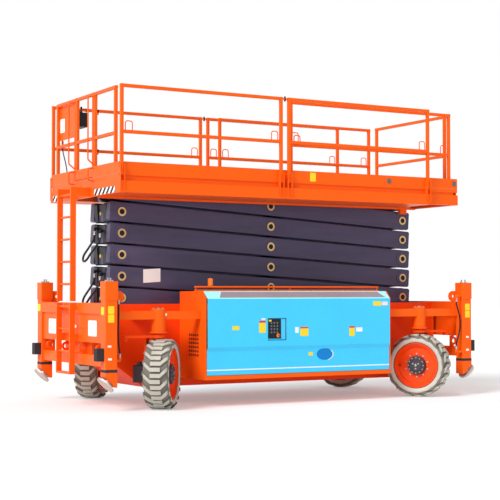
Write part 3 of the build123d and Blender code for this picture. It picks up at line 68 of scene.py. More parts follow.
# ---- Material building ------------------------------------------------------------
class Surface:
    """A node tree that works a surface out from the object's own coordinates."""

    def __init__(self, name):
        self.mat = bpy.data.materials.new(name)
        self.mat.use_nodes = True
        self.tree = self.mat.node_tree
        self.tree.nodes.clear()
        out = self.tree.nodes.new("ShaderNodeOutputMaterial")
        self.shader = self.tree.nodes.new("ShaderNodeBsdfPrincipled")
        self.tree.links.new(self.shader.outputs["BSDF"], out.inputs["Surface"])
        self.coords = self.tree.nodes.new("ShaderNodeTexCoord").outputs["Object"]
        split = self.tree.nodes.new("ShaderNodeSeparateXYZ")
        self.tree.links.new(self.coords, split.inputs[0])
        self.x, self.y, self.z = split.outputs

    def put(self, value, socket):
        if isinstance(value, bpy.types.NodeSocket):
            self.tree.links.new(value, socket)
        else:
            socket.default_value = value

    def math(self, operation, first, second=0.0):
        node = self.tree.nodes.new("ShaderNodeMath")
        node.operation = operation
        self.put(first, node.inputs[0])
        self.put(second, node.inputs[1])
        return node.outputs[0]

    def vector(self, operation, first, second):
        node = self.tree.nodes.new("ShaderNodeVectorMath")
        node.operation = operation
        self.put(first, node.inputs[0])
        self.put(second, node.inputs[1])
        return node.outputs["Value" if operation in ("DOT_PRODUCT", "LENGTH") else "Vector"]

    def above(self, value, limit):
        return self.math("GREATER_THAN", value, limit)

    def between(self, value, low, high):
        return self.math("MULTIPLY", self.above(value, low), self.math("LESS_THAN", value, high))

    def both(self, first, second):
        return self.math("MULTIPLY", first, second)

    def size(self, value):
        return self.math("ABSOLUTE", value)

    def noise(self, scale, detail=4.0, rough=0.55, stretch=(1.0, 1.0, 1.0)):
        mapping = self.tree.nodes.new("ShaderNodeMapping")
        mapping.inputs["Scale"].default_value = stretch
        self.tree.links.new(self.coords, mapping.inputs["Vector"])
        tex = self.tree.nodes.new("ShaderNodeTexNoise")
        tex.inputs["Scale"].default_value = scale
        tex.inputs["Detail"].default_value = detail
        tex.inputs["Roughness"].default_value = rough
        self.tree.links.new(mapping.outputs["Vector"], tex.inputs["Vector"])
        return tex.outputs["Fac"]

    def ramp(self, source, stops):
        """Colours or levels from (place, colour) stops."""
        node = self.tree.nodes.new("ShaderNodeValToRGB")
        elements = node.color_ramp.elements
        while len(elements) < len(stops):
            elements.new(0.5)
        for element, (place, colour) in zip(elements, stops):
            element.position = place
            element.color = (*colour, 1.0) if isinstance(colour, tuple) else (*(colour,) * 3, 1.0)
        self.tree.links.new(source, node.inputs["Fac"])
        return node.outputs["Color"]

    def mix(self, share, first, second, blend="MIX"):
        node = self.tree.nodes.new("ShaderNodeMix")
        node.data_type = "RGBA"
        node.blend_type = blend
        node.inputs["Factor"].default_value = 1.0
        self.put(share, node.inputs["Factor"])
        for value, socket in ((first, node.inputs[6]), (second, node.inputs[7])):
            self.put((*value, 1.0) if isinstance(value, tuple) else value, socket)
        return node.outputs[2]

    def bump(self, heights):
        """Adds (height, strength, distance) layers one over the other."""
        normal = None
        for height, strength, distance in heights:
            node = self.tree.nodes.new("ShaderNodeBump")
            node.inputs["Strength"].default_value = strength
            node.inputs["Distance"].default_value = distance
            self.tree.links.new(height, node.inputs["Height"])
            if normal:
                self.tree.links.new(normal, node.inputs["Normal"])
            normal = node.outputs["Normal"]
        self.tree.links.new(normal, self.shader.inputs["Normal"])


class Look:
    """Colour, roughness and metal share of one finish."""

    def __init__(self, colour, rough, metal=0.0):
        self.colour = colour
        self.rough = rough
        self.metal = metal


ORANGE = Look((0.96, 0.120, 0.006), 0.36)
RED_ORANGE = Look((0.95, 0.072, 0.005), 0.38)
CHARCOAL = Look((0.066, 0.058, 0.112), 0.34)
SKY = Look((0.055, 0.60, 0.97), 0.28)
PALE_SKY = Look((0.40, 0.92, 0.93), 0.28)
WHITE = Look((0.86, 0.86, 0.84), 0.4)
YELLOW = Look((0.93, 0.66, 0.03), 0.4)
RED = Look((0.75, 0.03, 0.015), 0.35)
BLACK = Look((0.012, 0.012, 0.014), 0.45)
RUBBER = Look((0.035, 0.031, 0.036), 0.7)
GREY = Look((0.050, 0.052, 0.060), 0.42)
STEEL = Look((0.46, 0.47, 0.48), 0.34, 0.9)
BRASS = Look((0.62, 0.40, 0.17), 0.3, 0.75)
CHROME = Look((0.62, 0.63, 0.65), 0.1, 1.0)
PAD = Look((0.60, 0.58, 0.53), 0.45, 0.55)
LUG = Look((0.52, 0.50, 0.43), 0.85)
SIDEWALL = Look((0.55, 0.52, 0.45), 0.8)
# Darker copy of the sidewall rubber: painted shade in the tyre's tread groove
GROOVE_SHADE = Look((0.20, 0.19, 0.165), 0.9)
AMBER = Look((0.95, 0.21, 0.012), 0.12)
FLOOR_PLATE = Look((0.34, 0.35, 0.36), 0.38, 0.8)


# Noise as scale, detail and roughness
MOTTLE = (1.4, 5.0, 0.6)
MOTTLE_STOPS = (0.3, 0.7)
DUST = (7.0, 6.0, 0.62)
DUST_STOPS = ((0.3, 0.86), (0.72, 1.18))
SKIN = (150.0, 2.0)
SKIN_DEPTH = 0.002
COAT_ROUGHNESS = 0.18
PALEST_TINT = 0.4


def finish(name, base, details=(), spread=0.05, peel=0.05, streak=(1.0, 1.0, 1.0), coat=0.0,
           specular=0.22, extra_bump=()):
    """A finish with mottling, dust in its gloss and a fine skin; details are (mask, look) over it."""
    surface = Surface(name)
    colour = base.colour
    rough = (base.rough,) * 3
    metal = (base.metal,) * 3
    for mask_of, look in details:
        mask = mask_of(surface)
        colour = surface.mix(mask, colour, look.colour)
        rough = surface.mix(mask, rough, (look.rough,) * 3)
        metal = surface.mix(mask, metal, (look.metal,) * 3)
    mottle = surface.ramp(surface.noise(*MOTTLE, streak),
                          tuple(zip(MOTTLE_STOPS, (1.0 - spread, 1.0 + spread))))
    surface.put(surface.mix(1.0, colour, mottle, "MULTIPLY"), surface.shader.inputs["Base Color"])
    dust = surface.ramp(surface.noise(*DUST), DUST_STOPS)
    surface.put(surface.mix(1.0, rough, dust, "MULTIPLY"), surface.shader.inputs["Roughness"])
    if details or base.metal:
        surface.put(metal if details else base.metal, surface.shader.inputs["Metallic"])
    surface.shader.inputs["Specular IOR Level"].default_value = specular
    strongest = max(base.colour)
    tint = (*(PALEST_TINT + (1.0 - PALEST_TINT) * part / strongest for part in base.colour), 1.0)
    surface.shader.inputs["Specular Tint"].default_value = tint
    surface.shader.inputs["Coat Weight"].default_value = coat
    surface.shader.inputs["Coat Roughness"].default_value = COAT_ROUGHNESS
    layers = [(surface.noise(*SKIN), peel, SKIN_DEPTH)]
    layers += [(maker(surface), strength, distance) for maker, strength, distance in extra_bump]
    surface.bump(layers)
    return surface.mat


# ---- Masks over the CAD nodes -----------------------------------------------------
# Object coordinates of a CAD node are the row frame at rest, in metres
COLLAR_FACE = 0.3403        # just past the arms' outer faces, where only collars stand proud
DIAGONAL = 0.70711          # a direction half-way between two axes
PAD_REACH = 1.794           # along the diagonal, past which a leg is its foot pad
ELBOW_X = 2.5212            # just behind the arms' end boxes
ELBOW_HALF_WIDTH = 0.2
SHOULDER_Z = 1.4515
COVER_LINE_Z = (0.487, 0.502)
DECK_PLATE_Z = 3.0885
EXTENSION_PLATE_Z = 3.1005
FLOOR_SKIN = 0.002
DOME_Z = 1.6272
KNOB_AT = (-0.284, 1.205)   # on the top rail, either side
KNOB_RADIUS = 0.0135
KNOB_Z = 4.19
GATE_PIN_AT = (-2.721, -0.32)
GATE_PIN_RADIUS = 0.0185
RIM_BOLT_OUT = 0.0812       # along the axle, from the wheel's middle
RIM_BOLT_RING = (0.15, 0.19)
HUB_RADIUS = 0.1405
MOTOR_OUT = -0.2202
MOTOR_TOP = 0.7
# Radii of the painted shade in the tread groove, and the noise that makes its edge ragged
GROOVE_SHADE_RING = (0.405, 0.4415)
RAGGED_EDGE = 0.008
LUG_RADIUS = 0.437
# Inside this radius the tyre is painted black: painted shadow in the gap at the rim's lip
RIM_GAP_SHADE_RADIUS = 0.3385
SIDEWALL_WAVE = 420.0       # waves in radians per metre
LENS_WAVE = 700.0
LOZENGE_WAVE = 62.8
LOZENGE_CROSS_WAVE = 188.4
BRAID_WAVE = 1600.0


def collars(s):
    return s.above(s.size(s.y), COLLAR_FACE)


def pad_side(s):
    reach = s.math("MULTIPLY", s.math("SUBTRACT", s.size(s.x), s.z), DIAGONAL)
    return s.above(reach, PAD_REACH)


def black_elbows(s):
    """Hose fittings behind the arms' end boxes."""
    behind = s.above(s.math("MULTIPLY", s.x, -1.0), ELBOW_X)
    return s.both(behind, s.math("LESS_THAN", s.size(s.y), ELBOW_HALF_WIDTH))


def cover_shoulder(s):
    return s.above(s.z, SHOULDER_Z)


def cover_line(s):
    return s.between(s.z, *COVER_LINE_Z)


def floor_top(low):
    return lambda s: s.between(s.z, low, low + FLOOR_SKIN)


def dome(s):
    return s.above(s.z, DOME_Z)


def upright(s, y, place, radius):
    """Inside an upright cylinder at a place (x, y)."""
    off_x = s.math("POWER", s.math("SUBTRACT", s.x, place[0]), 2.0)
    off_y = s.math("POWER", s.math("SUBTRACT", y, place[1]), 2.0)
    return s.math("LESS_THAN", s.math("ADD", off_x, off_y), radius ** 2)


def knobs(s):
    """Lock knobs on the guard rails."""
    return s.both(upright(s, s.size(s.y), KNOB_AT, KNOB_RADIUS), s.above(s.z, KNOB_Z))


def gate_hinges(s):
    return upright(s, s.y, GATE_PIN_AT, GATE_PIN_RADIUS)


def wheel_place(s, corner):
    """Distance out along the axle and distance from it."""
    joint = joints[f"wheel_spin_{corner}"]
    side = 1.0 if "left" in corner else -1.0
    axis = tuple(side * value for value in joint["axis"])
    from_centre = s.vector("SUBTRACT", s.coords, tuple(joint["pos_m"]))
    out = s.vector("DOT_PRODUCT", from_centre, axis)
    spread = s.vector("DOT_PRODUCT", from_centre, from_centre)
    radius = s.math("SQRT", s.math("SUBTRACT", spread, s.math("MULTIPLY", out, out)))
    return out, radius


def rim_bolts(corner):
    def mask(s):
        out, radius = wheel_place(s, corner)
        return s.both(s.above(out, RIM_BOLT_OUT), s.between(radius, *RIM_BOLT_RING))
    return mask


def rim_hub(corner):
    def mask(s):
        out, radius = wheel_place(s, corner)
        return s.both(s.above(out, 0.0), s.math("LESS_THAN", radius, HUB_RADIUS))
    return mask


def motor(corner):
    def mask(s):
        out, _ = wheel_place(s, corner)
        return s.both(s.math("LESS_THAN", out, MOTOR_OUT), s.math("LESS_THAN", s.z, MOTOR_TOP))
    return mask


# Painted shade: the tread groove's ring is coloured darker than the rubber, with a ragged edge from
# noise
def tyre_groove_shade(corner):
    def mask(s):
        _, radius = wheel_place(s, corner)
        ragged = s.math("ADD", radius, s.math("MULTIPLY", s.noise(40.0, 3.0), RAGGED_EDGE))
        return s.between(ragged, *GROOVE_SHADE_RING)
    return mask


def tyre_lug(corner):
    def mask(s):
        _, radius = wheel_place(s, corner)
        return s.above(radius, LUG_RADIUS)
    return mask


# Painted shadow: the tyre's edge against the rim is coloured black for the shade in the gap at the
# rim's lip
def rim_gap_shade(corner):
    def mask(s):
        _, radius = wheel_place(s, corner)
        return s.math("LESS_THAN", radius, RIM_GAP_SHADE_RADIUS)
    return mask


def sidewall_rings(corner):
    def height(s):
        _, radius = wheel_place(s, corner)
        return s.math("SINE", s.math("MULTIPLY", radius, SIDEWALL_WAVE))
    return height


def lens_ribs(s):
    return s.math("SINE", s.math("MULTIPLY", s.z, LENS_WAVE))


def tread_pattern(s):
    """Raised lozenges of chequer plate, two ways round."""
    total = None
    for turn_way in (1.0, -1.0):
        along = s.math("ADD", s.x, s.math("MULTIPLY", s.y, turn_way))
        across = s.math("SUBTRACT", s.x, s.math("MULTIPLY", s.y, turn_way))
        bars = s.both(s.above(s.math("SINE", s.math("MULTIPLY", along, LOZENGE_WAVE)), 0.35),
                      s.above(s.math("SINE", s.math("MULTIPLY", across, LOZENGE_CROSS_WAVE)), 0.55))
        total = bars if total is None else s.math("MAXIMUM", total, bars)
    return total


LOOKS = {
    "main_frame": finish("frame_paint", RED_ORANGE),
    "plain": finish("body_paint", ORANGE),
    "rails": finish("rail_paint", ORANGE, [(knobs, BLACK)], peel=0.03),
    "gate": finish("gate_paint", ORANGE, [(gate_hinges, BLACK)], peel=0.03),
    "arms": finish("scissor_paint", CHARCOAL, [(black_elbows, BLACK), (collars, BRASS)], 0.16,
                   streak=(0.7, 1.0, 5.0), coat=0.2),
    "deck": finish("deck_paint", ORANGE, [(floor_top(DECK_PLATE_Z), FLOOR_PLATE)],
                   extra_bump=((tread_pattern, 0.35, 0.003),)),
    "extension_deck": finish("extension_paint", ORANGE,
                             [(floor_top(EXTENSION_PLATE_Z), FLOOR_PLATE)]),
    "covers": finish("cover_paint", SKY, [(cover_shoulder, PALE_SKY), (cover_line, WHITE)], 0.025,
                     coat=0.3),
    "trays": finish("tray_paint", ORANGE),
    "black": finish("black_plastic", BLACK, spread=0.15, coat=0.0),
    "rubber": finish("bumper_rubber", RUBBER, spread=0.2, peel=0.2, coat=0.0),
    "panel": finish("panel_paint", SKY, spread=0.03, coat=0.3),
    "equipment": finish("equipment_paint", GREY, spread=0.12),
    "beacon": finish("beacon_plastic", BLACK, [(dome, AMBER)], 0.04, coat=0.4,
                     extra_bump=((lens_ribs, 0.25, 0.003),)),
    "cylinders": finish("cylinder_paint", CHARCOAL, spread=0.08),
    "rods": finish("chrome_rod", CHROME, spread=0.02, peel=0.01, coat=0.0),
    "legs": finish("leg_paint", ORANGE, [(pad_side, PAD)]),
}
for corner in CORNERS:
    LOOKS[f"rim_{corner}"] = finish(f"rim_paint_{corner}", RED_ORANGE,
                                    [(rim_hub(corner), GREY), (rim_bolts(corner), STEEL)], coat=0.25)
    # Tyre rubber, with painted shade in its tread groove and painted shadow in the gap at the rim's
    # lip
    LOOKS[f"tyre_{corner}"] = finish(f"tyre_rubber_{corner}", SIDEWALL,
                                     [(tyre_lug(corner), LUG), (tyre_groove_shade(corner), GROOVE_SHADE),
                                      (rim_gap_shade(corner), BLACK)],
                                     0.16, 0.3, coat=0.0, specular=0.2,
                                     extra_bump=((sidewall_rings(corner), 0.1, 0.002),))
    LOOKS[f"knuckle_{corner}"] = finish(f"knuckle_paint_{corner}", RED_ORANGE,
                                        [(motor(corner), GREY)])


def look_of(node):
    if node in LOOKS:
        return LOOKS[node]
    kinds = (
        ("arm_", "arms"), ("inner_arm", "arms"), ("outer_arm", "arms"), ("side_rail", "rails"),
        ("extension_rails", "rails"), ("gate", "gate"), ("platform_deck", "deck"),
        ("extension_deck", "extension_deck"), ("cabinet_cover", "covers"), ("cabinet_tray", "trays"),
        ("bumpers", "rubber"), ("console", "black"), ("control_panel", "panel"),
        ("right_equip", "equipment"), ("left_equip", "equipment"), ("beacon", "beacon"),
        ("lift_cylinder", "cylinders"), ("lift_rod", "rods"), ("leg_", "legs"),
    )
    for start, kind in kinds:
        if node.startswith(start):
            return LOOKS[kind]
    return LOOKS["plain"]


for name, obj in frame["nodes"].items():
    if not obj.material_slots:
        obj.data.materials.append(None)
    for material_slot in obj.material_slots:
        material_slot.material = look_of(name)


# ---- Cords ------------------------------------------------------------------------
ARM_BOX_X = -2.5207
BASE_PIN_Z = 1.172
STAGE_RISE = 0.294
LEG_FACE_X = 2.8215
FRONT_HOSE_Y = -1.200
REAR_HOSE_Y = -1.125
CABLE_X = -2.720
ARM_HOSE_RADIUS = 0.015
LEG_HOSE_RADIUS = 0.012
CABLE_RADIUS = 0.008
# Distance behind the arm's end box, Y, and height above its rear pin
ARM_HOSE_ROUTE = (
    (0.060, 0.095, 0.040), (0.060, 0.095, -0.045), (0.098, 0.104, -0.125),
    (0.152, 0.109, -0.205), (0.215, 0.107, -0.290), (0.240, 0.087, -0.348),
    (0.255, 0.033, -0.384), (0.255, -0.033, -0.384), (0.240, -0.087, -0.348),
    (0.215, -0.107, -0.290), (0.158, -0.109, -0.222), (0.101, -0.104, -0.148),
    (0.060, -0.095, -0.075), (0.060, -0.095, 0.000),
)
# Distance inward of the leg's face, and height
FRONT_LEG_HOSE_ROUTE = (
    (0.100, 1.450), (0.100, 1.370), (0.070, 1.285), (0.041, 1.195), (0.028, 1.095), (0.033, 0.990),
    (0.057, 0.890), (0.091, 0.810), (0.108, 0.745), (0.108, 0.680),
)
REAR_LEG_HOSE_ROUTE = (
    (0.060, 1.440), (0.060, 1.230), (0.054, 1.010), (0.060, 0.860), (0.080, 0.765), (0.080, 0.690),
)
# Y and height
CABLE_ROUTE = (
    (0.640, 3.960), (0.745, 3.960), (0.850, 3.918), (0.925, 3.835), (0.968, 3.735), (0.968, 3.630),
    (0.925, 3.535), (0.865, 3.440), (0.810, 3.345), (0.772, 3.240), (0.772, 3.130),
)


def braid(s):
    one_way = s.math("SINE", s.math("MULTIPLY", s.math("ADD", s.y, s.z), BRAID_WAVE))
    other_way = s.math("SINE", s.math("MULTIPLY", s.math("SUBTRACT", s.x, s.z), BRAID_WAVE))
    return s.math("MULTIPLY", one_way, other_way)


HOSE_LOOK = finish("hose_rubber", Look((0.018, 0.018, 0.020), 0.38), spread=0.15, peel=0.05,
                   coat=0.05, extra_bump=((braid, 0.15, 0.001),))


def cord(name, node, body, points, radius):
    """Hose or cable along a NURBS spline through its route."""
    curve = bpy.data.curves.new(name, "CURVE")
    curve.dimensions = "3D"
    spline = curve.splines.new("NURBS")
    spline.points.add(len(points) - 1)
    for place, point in zip(spline.points, points):
        place.co = (*point, 1.0)
    spline.order_u = 3
    spline.use_endpoint_u = True
    curve.resolution_u = 16
    curve.bevel_depth = radius
    curve.bevel_resolution = 5
    curve.use_fill_caps = True
    curve.materials.append(HOSE_LOOK)
    obj = bpy.data.objects.new(name, curve)
    bpy.context.scene.collection.objects.link(obj)
    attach(obj, body)
    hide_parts(node)
    return obj


arm_hose_points = {
    stage: [(ARM_BOX_X - behind, y, BASE_PIN_Z + (stage - 1) * STAGE_RISE + rise)
            for behind, y, rise in ARM_HOSE_ROUTE]
    for stage in (3, 5)
}
front_hose_points = [(LEG_FACE_X - inward, FRONT_HOSE_Y, z) for inward, z in FRONT_LEG_HOSE_ROUTE]
rear_hose_points = [(inward - LEG_FACE_X, REAR_HOSE_Y, z) for inward, z in REAR_LEG_HOSE_ROUTE]
cable_points = [(CABLE_X, y, z) for y, z in CABLE_ROUTE]
for stage, points in arm_hose_points.items():
    cord(f"hose_loop_{stage}", f"arm_hose_{stage}", f"inner_arm_{stage}", points, ARM_HOSE_RADIUS)
cord("front_leg_hose_line", "leg_hose_front_right", "chassis", front_hose_points, LEG_HOSE_RADIUS)
cord("rear_leg_hose_line", "leg_hose_rear_right", "chassis", rear_hose_points, LEG_HOSE_RADIUS)
cord("console_cable_line", "console_cable", "platform", cable_points, CABLE_RADIUS)


# ---- Small pieces -----------------------------------------------------------------
class Builder:
    """Collects shapes into one mesh."""

    def __init__(self):
        self.mesh = bmesh.new()

    def prism(self, outline, origin, across, up, depth):
        """Flat outline (across, up) at an origin, given depth along across x up."""
        across = Vector(across).normalized()
        up = Vector(up).normalized()
        out = across.cross(up)
        base = Vector(origin)
        low = [self.mesh.verts.new(base + across * a + up * b) for a, b in outline]
        high = [self.mesh.verts.new(base + across * a + up * b + out * depth) for a, b in outline]
        self.mesh.faces.new(list(reversed(low)))
        self.mesh.faces.new(high)
        for i in range(len(low)):
            j = (i + 1) % len(low)
            self.mesh.faces.new((low[i], low[j], high[j], high[i]))

    def plate(self, origin, across, up, width, height, depth, corner=0.006):
        """Rectangle with rounded corners, centred on its origin."""
        self.prism(rounded(width, height, corner), origin, across, up, depth)

    def ring(self, origin, axis, profile, sides=24):
        """Turned shape from (distance along the axis, radius) points."""
        axis = Vector(axis).normalized()
        first = axis.orthogonal().normalized()
        second = axis.cross(first)
        angles = [2 * pi * k / sides for k in range(sides)]
        rows = []
        for along, radius in profile:
            centre = Vector(origin) + axis * along
            if radius < 1e-6:
                rows.append([self.mesh.verts.new(centre)])
            else:
                rows.append([
                    self.mesh.verts.new(centre + (first * cos(a) + second * sin(a)) * radius)
                    for a in angles])
        for low, high in zip(rows, rows[1:]):
            for k in range(sides):
                j = (k + 1) % sides
                corners = [low[k % len(low)], low[j % len(low)],
                           high[j % len(high)], high[k % len(high)]]
                self.mesh.faces.new(list(dict.fromkeys(corners)))
        if len(rows[0]) > 1:
            self.mesh.faces.new(list(reversed(rows[0])))
        if len(rows[-1]) > 1:
            self.mesh.faces.new(rows[-1])

    def bolt(self, origin, axis, radius, height):
        """Washer and hexagon head."""
        self.ring(origin, axis, ((0.0, radius * 1.25), (height * 0.2, radius * 1.25)), 20)
        start = Vector(origin) + Vector(axis).normalized() * height * 0.2
        self.ring(start, axis,
                  ((0.0, radius), (height * 0.65, radius), (height * 0.8, radius * 0.88)), 6)

    def done(self, name, body, material, bevel=0.0, smooth=False):
        bmesh.ops.recalc_face_normals(self.mesh, faces=self.mesh.faces)
        data = bpy.data.meshes.new(name)
        self.mesh.to_mesh(data)
        self.mesh.free()
        data.materials.append(material)
        obj = bpy.data.objects.new(name, data)
        bpy.context.scene.collection.objects.link(obj)
        if bevel:
            modifier = obj.modifiers.new("edges", "BEVEL")
            modifier.width = bevel
            modifier.segments = 2
            modifier.limit_method = "ANGLE"
            modifier.angle_limit = 0.9
        if smooth:
            for face in data.polygons:
                face.use_smooth = True
            data.set_sharp_from_angle(angle=0.7)
        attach(obj, body)
        return obj


def rounded(width, height, corner, steps=4):
    """Outline of a rectangle with rounded corners."""
    points = []
    for index, (sx, sy) in enumerate(((1, 1), (-1, 1), (-1, -1), (1, -1))):
        for step in range(steps + 1):
            angle = (index + step / steps) * pi / 2
            points.append((sx * (width / 2 - corner) + corner * cos(angle),
                           sy * (height / 2 - corner) + corner * sin(angle)))
    return points


PLATE = 0.0012             # thickness of a blank plate
PLATE_CORNER = 0.12        # its corner radius, as a share of its shorter side
WHITE_PLATE = finish("white_plate", WHITE, spread=0.03, peel=0.02)
YELLOW_PLATE = finish("yellow_plate", YELLOW, spread=0.03, peel=0.02)
RED_PLATE = finish("red_plate", RED, spread=0.03, peel=0.02)
PINK_PLATE = finish("pale_plate", Look((0.82, 0.72, 0.78), 0.4), spread=0.03, peel=0.02)
BLUE_PLATE = finish("blue_plate", Look((0.01, 0.22, 0.62), 0.3), spread=0.04, peel=0.02)
DARK_STRIP = finish("dark_strip", Look((0.30, 0.26, 0.30), 0.4), spread=0.06, peel=0.02)
STEEL_PART = finish("steel_part", STEEL, spread=0.08, peel=0.03, coat=0.0)
BLACK_PART = finish("black_part", BLACK, spread=0.15, peel=0.08, coat=0.0)
GREY_PART = finish("grey_part", Look((0.14, 0.15, 0.16), 0.5), spread=0.1, peel=0.05, coat=0.0)
ORANGE_PART = finish("orange_part", ORANGE)
RED_BUTTON = finish("red_button", RED, spread=0.02, peel=0.01, coat=0.4)
HAZARD_PITCH = 0.130


def stripes(s):
    place = s.math("DIVIDE", s.math("ADD", s.y, s.z), HAZARD_PITCH)
    return s.above(s.math("FRACT", place), 0.5)


HAZARD = finish("hazard_stripes", WHITE, [(stripes, BLACK)], 0.03, 0.02)
ALONG = (1.0, 0.0, 0.0)
TO_REAR = (-1.0, 0.0, 0.0)
TO_RIGHT = (0.0, -1.0, 0.0)
UP = (0.0, 0.0, 1.0)
STOP_BUTTON = ((0.0, 0.012), (0.008, 0.012), (0.009, 0.020), (0.015, 0.021), (0.019, 0.017),
               (0.021, 0.0))


def side_plates(name, body, material, y, items, depth=PLATE):
    """Blank plates on a face that looks to the right: (x0, x1, z0, z1) each."""
    builder = Builder()
    for x0, x1, z0, z1 in items:
        builder.plate(((x0 + x1) / 2, y, (z0 + z1) / 2), ALONG, UP, x1 - x0, z1 - z0, depth,
                      min(x1 - x0, z1 - z0) * PLATE_CORNER)
    return builder.done(name, body, material)


def rear_plates(name, body, material, x, items, depth=PLATE):
    """Blank plates on a face that looks to the rear: (y0, y1, z0, z1) each."""
    builder = Builder()
    for y0, y1, z0, z1 in items:
        builder.plate((x, (y0 + y1) / 2, (z0 + z1) / 2), TO_RIGHT, UP, y1 - y0, z1 - z0, depth,
                      min(y1 - y0, z1 - z0) * PLATE_CORNER)
    return builder.done(name, body, material)


# Cover: blank plates, shoulder strip and oval
COVER_Y = -1.250
LOWER_COVER_Y = -1.228
side_plates("cover_yellow_plates", "cover_right", YELLOW_PLATE, COVER_Y,
            ((-1.145, -1.040, 1.028, 1.083), (-0.728, -0.625, 0.985, 1.122),
             (-0.066, 0.066, 0.932, 1.036), (0.754, 0.846, 0.918, 1.034),
             (1.170, 1.312, 1.345, 1.408)))
side_plates("cover_red_plates", "cover_right", RED_PLATE, COVER_Y,
            ((-0.728, -0.625, 1.124, 1.148), (-0.066, 0.066, 1.038, 1.056),
             (0.754, 0.846, 1.036, 1.058)))
side_plates("cover_white_plates", "cover_right", WHITE_PLATE, COVER_Y,
            ((-0.690, -0.630, 1.162, 1.184), (-0.150, -0.092, 0.976, 1.056),
             (0.872, 0.980, 0.978, 1.038)))
side_plates("cover_pale_plates", "cover_right", PINK_PLATE, COVER_Y,
            ((1.325, 1.425, 1.350, 1.404),))
side_plates("sill_plates", "cover_right", YELLOW_PLATE, LOWER_COVER_Y,
            ((0.082, 0.152, 0.655, 0.703),))


def oval(width, height, steps=40):
    angles = [2 * pi * k / steps for k in range(steps)]
    return [(width / 2 * cos(a), height / 2 * sin(a)) for a in angles]


badge = Builder()
badge.prism(oval(0.27, 0.165), (0.352, LOWER_COVER_Y, 0.672), ALONG, UP, PLATE)
badge.done("oval_plate", "cover_right", BLUE_PLATE)
rim_line = Builder()
outward = [(-0.38 + 0.62 * k / 14) * pi for k in range(15)]
inward = [(0.24 - 0.62 * k / 14) * pi for k in range(15)]
crescent = [(0.138 * cos(a), 0.084 * sin(a)) for a in outward]
crescent += [(0.128 * cos(a) - 0.004, 0.078 * sin(a)) for a in inward]
rim_line.prism(crescent, (0.360, LOWER_COVER_Y, 0.668), ALONG, UP, PLATE * 1.5)
rim_line.done("oval_edge", "cover_right", WHITE_PLATE)

SHOULDER = Vector((0.0, COVER_Y, 1.452))
SLOPE = Vector((0.0, 0.120, 0.103))
SLOPE_LENGTH = SLOPE.length
strip = Builder()
strip.prism(((-1.330, SLOPE_LENGTH * 0.14), (1.400, SLOPE_LENGTH * 0.14),
             (1.310, SLOPE_LENGTH * 0.90), (-1.262, SLOPE_LENGTH * 0.90)),
            SHOULDER, ALONG, SLOPE, PLATE)
strip.done("shoulder_strip", "cover_right", DARK_STRIP)

# Ground control face: dark panel, display, keys, stop button on a yellow base
PANEL_Y = -1.238
PANEL_FACE = 0.003
STOP_X, STOP_Z = -0.418, 0.945
panel = Builder()
panel.plate((-0.4755, PANEL_Y, 1.038), ALONG, UP, 0.205, 0.272, PANEL_FACE, 0.010)
panel.done("control_face", "chassis", BLACK_PART, 0.0008)
keys = Builder()
for column in range(3):
    for row in range(4):
        keys.ring((-0.527 + column * 0.047, PANEL_Y - PANEL_FACE, 1.118 - row * 0.043), TO_RIGHT,
                  ((0.0, 0.013), (0.002, 0.013), (0.003, 0.011)), 20)
keys.done("control_keys", "chassis", GREY_PART)
display = Builder()
display.plate((-0.548, PANEL_Y - PANEL_FACE, 1.150), ALONG, UP, 0.040, 0.024, 0.002, 0.004)
display.plate((STOP_X, PANEL_Y - PANEL_FACE, STOP_Z), ALONG, UP, 0.052, 0.052, 0.002, 0.025)
display.done("control_marks", "chassis", YELLOW_PLATE)
stop = Builder()
stop.ring((STOP_X, PANEL_Y - 0.005, STOP_Z), TO_RIGHT, STOP_BUTTON, 28)
stop.done("control_stop", "chassis", RED_BUTTON, smooth=True)

# Platform: blank plates, sockets, hazard stripes
TOE_Y = -1.1825
side_plates("deck_plate", "platform", YELLOW_PLATE, TOE_Y, ((0.142, 0.238, 3.098, 3.222),))
REAR_BEAM_X = -2.790
SHEET_X = -2.742
rear_plates("hazard_strips", "platform", HAZARD, REAR_BEAM_X,
            ((-1.054, -0.372, 2.842, 2.928), (0.972, 1.140, 2.842, 2.928)))
rear_plates("rear_beam_plate", "platform", YELLOW_PLATE, REAR_BEAM_X,
            ((-0.055, 0.225, 2.872, 2.984),))
rear_plates("sheet_plate", "platform", WHITE_PLATE, SHEET_X, ((0.815, 0.985, 3.83, 4.03),))


def socket(name, body, x, y, z):
    """Round socket outlet: flange, lid and hinge pin."""
    builder = Builder()
    builder.ring((x, y, z), TO_RIGHT,
                 ((0.0, 0.036), (0.005, 0.036), (0.007, 0.033), (0.007, 0.026), (0.016, 0.024),
                  (0.017, 0.021), (0.012, 0.018), (0.012, 0.0)), 32)
    builder.ring((x - 0.022, y - 0.012, z + 0.026), ALONG, ((0.0, 0.004), (0.044, 0.004)), 12)
    return builder.done(name, body, GREY_PART, smooth=True)


socket("deck_socket", "platform", 1.505, TOE_Y, 3.160)
socket("extension_socket", "extension", 2.776, -1.095, 3.175)

# Console: joystick, row of toggles and stop button
CONSOLE_TOP = 4.060
CONSOLE_X = -2.664
stick = Builder()
stick.ring((CONSOLE_X, 0.395, CONSOLE_TOP), UP,
           ((0.0, 0.026), (0.006, 0.026), (0.010, 0.020), (0.014, 0.021), (0.018, 0.014),
            (0.022, 0.015), (0.026, 0.007), (0.052, 0.006), (0.054, 0.013), (0.075, 0.015),
            (0.090, 0.011), (0.094, 0.0)), 24)
for k in range(4):
    stick.ring((CONSOLE_X + 0.028, 0.470 + k * 0.028, CONSOLE_TOP), UP,
               ((0.0, 0.008), (0.004, 0.008), (0.006, 0.004), (0.022, 0.0035), (0.024, 0.0)), 16)
stick.done("console_stick", "platform", BLACK_PART, smooth=True)
console_stop = Builder()
console_stop.ring((CONSOLE_X - 0.030, 0.520, CONSOLE_TOP), UP, STOP_BUTTON, 24)
console_stop.done("console_stop", "platform", RED_BUTTON, smooth=True)

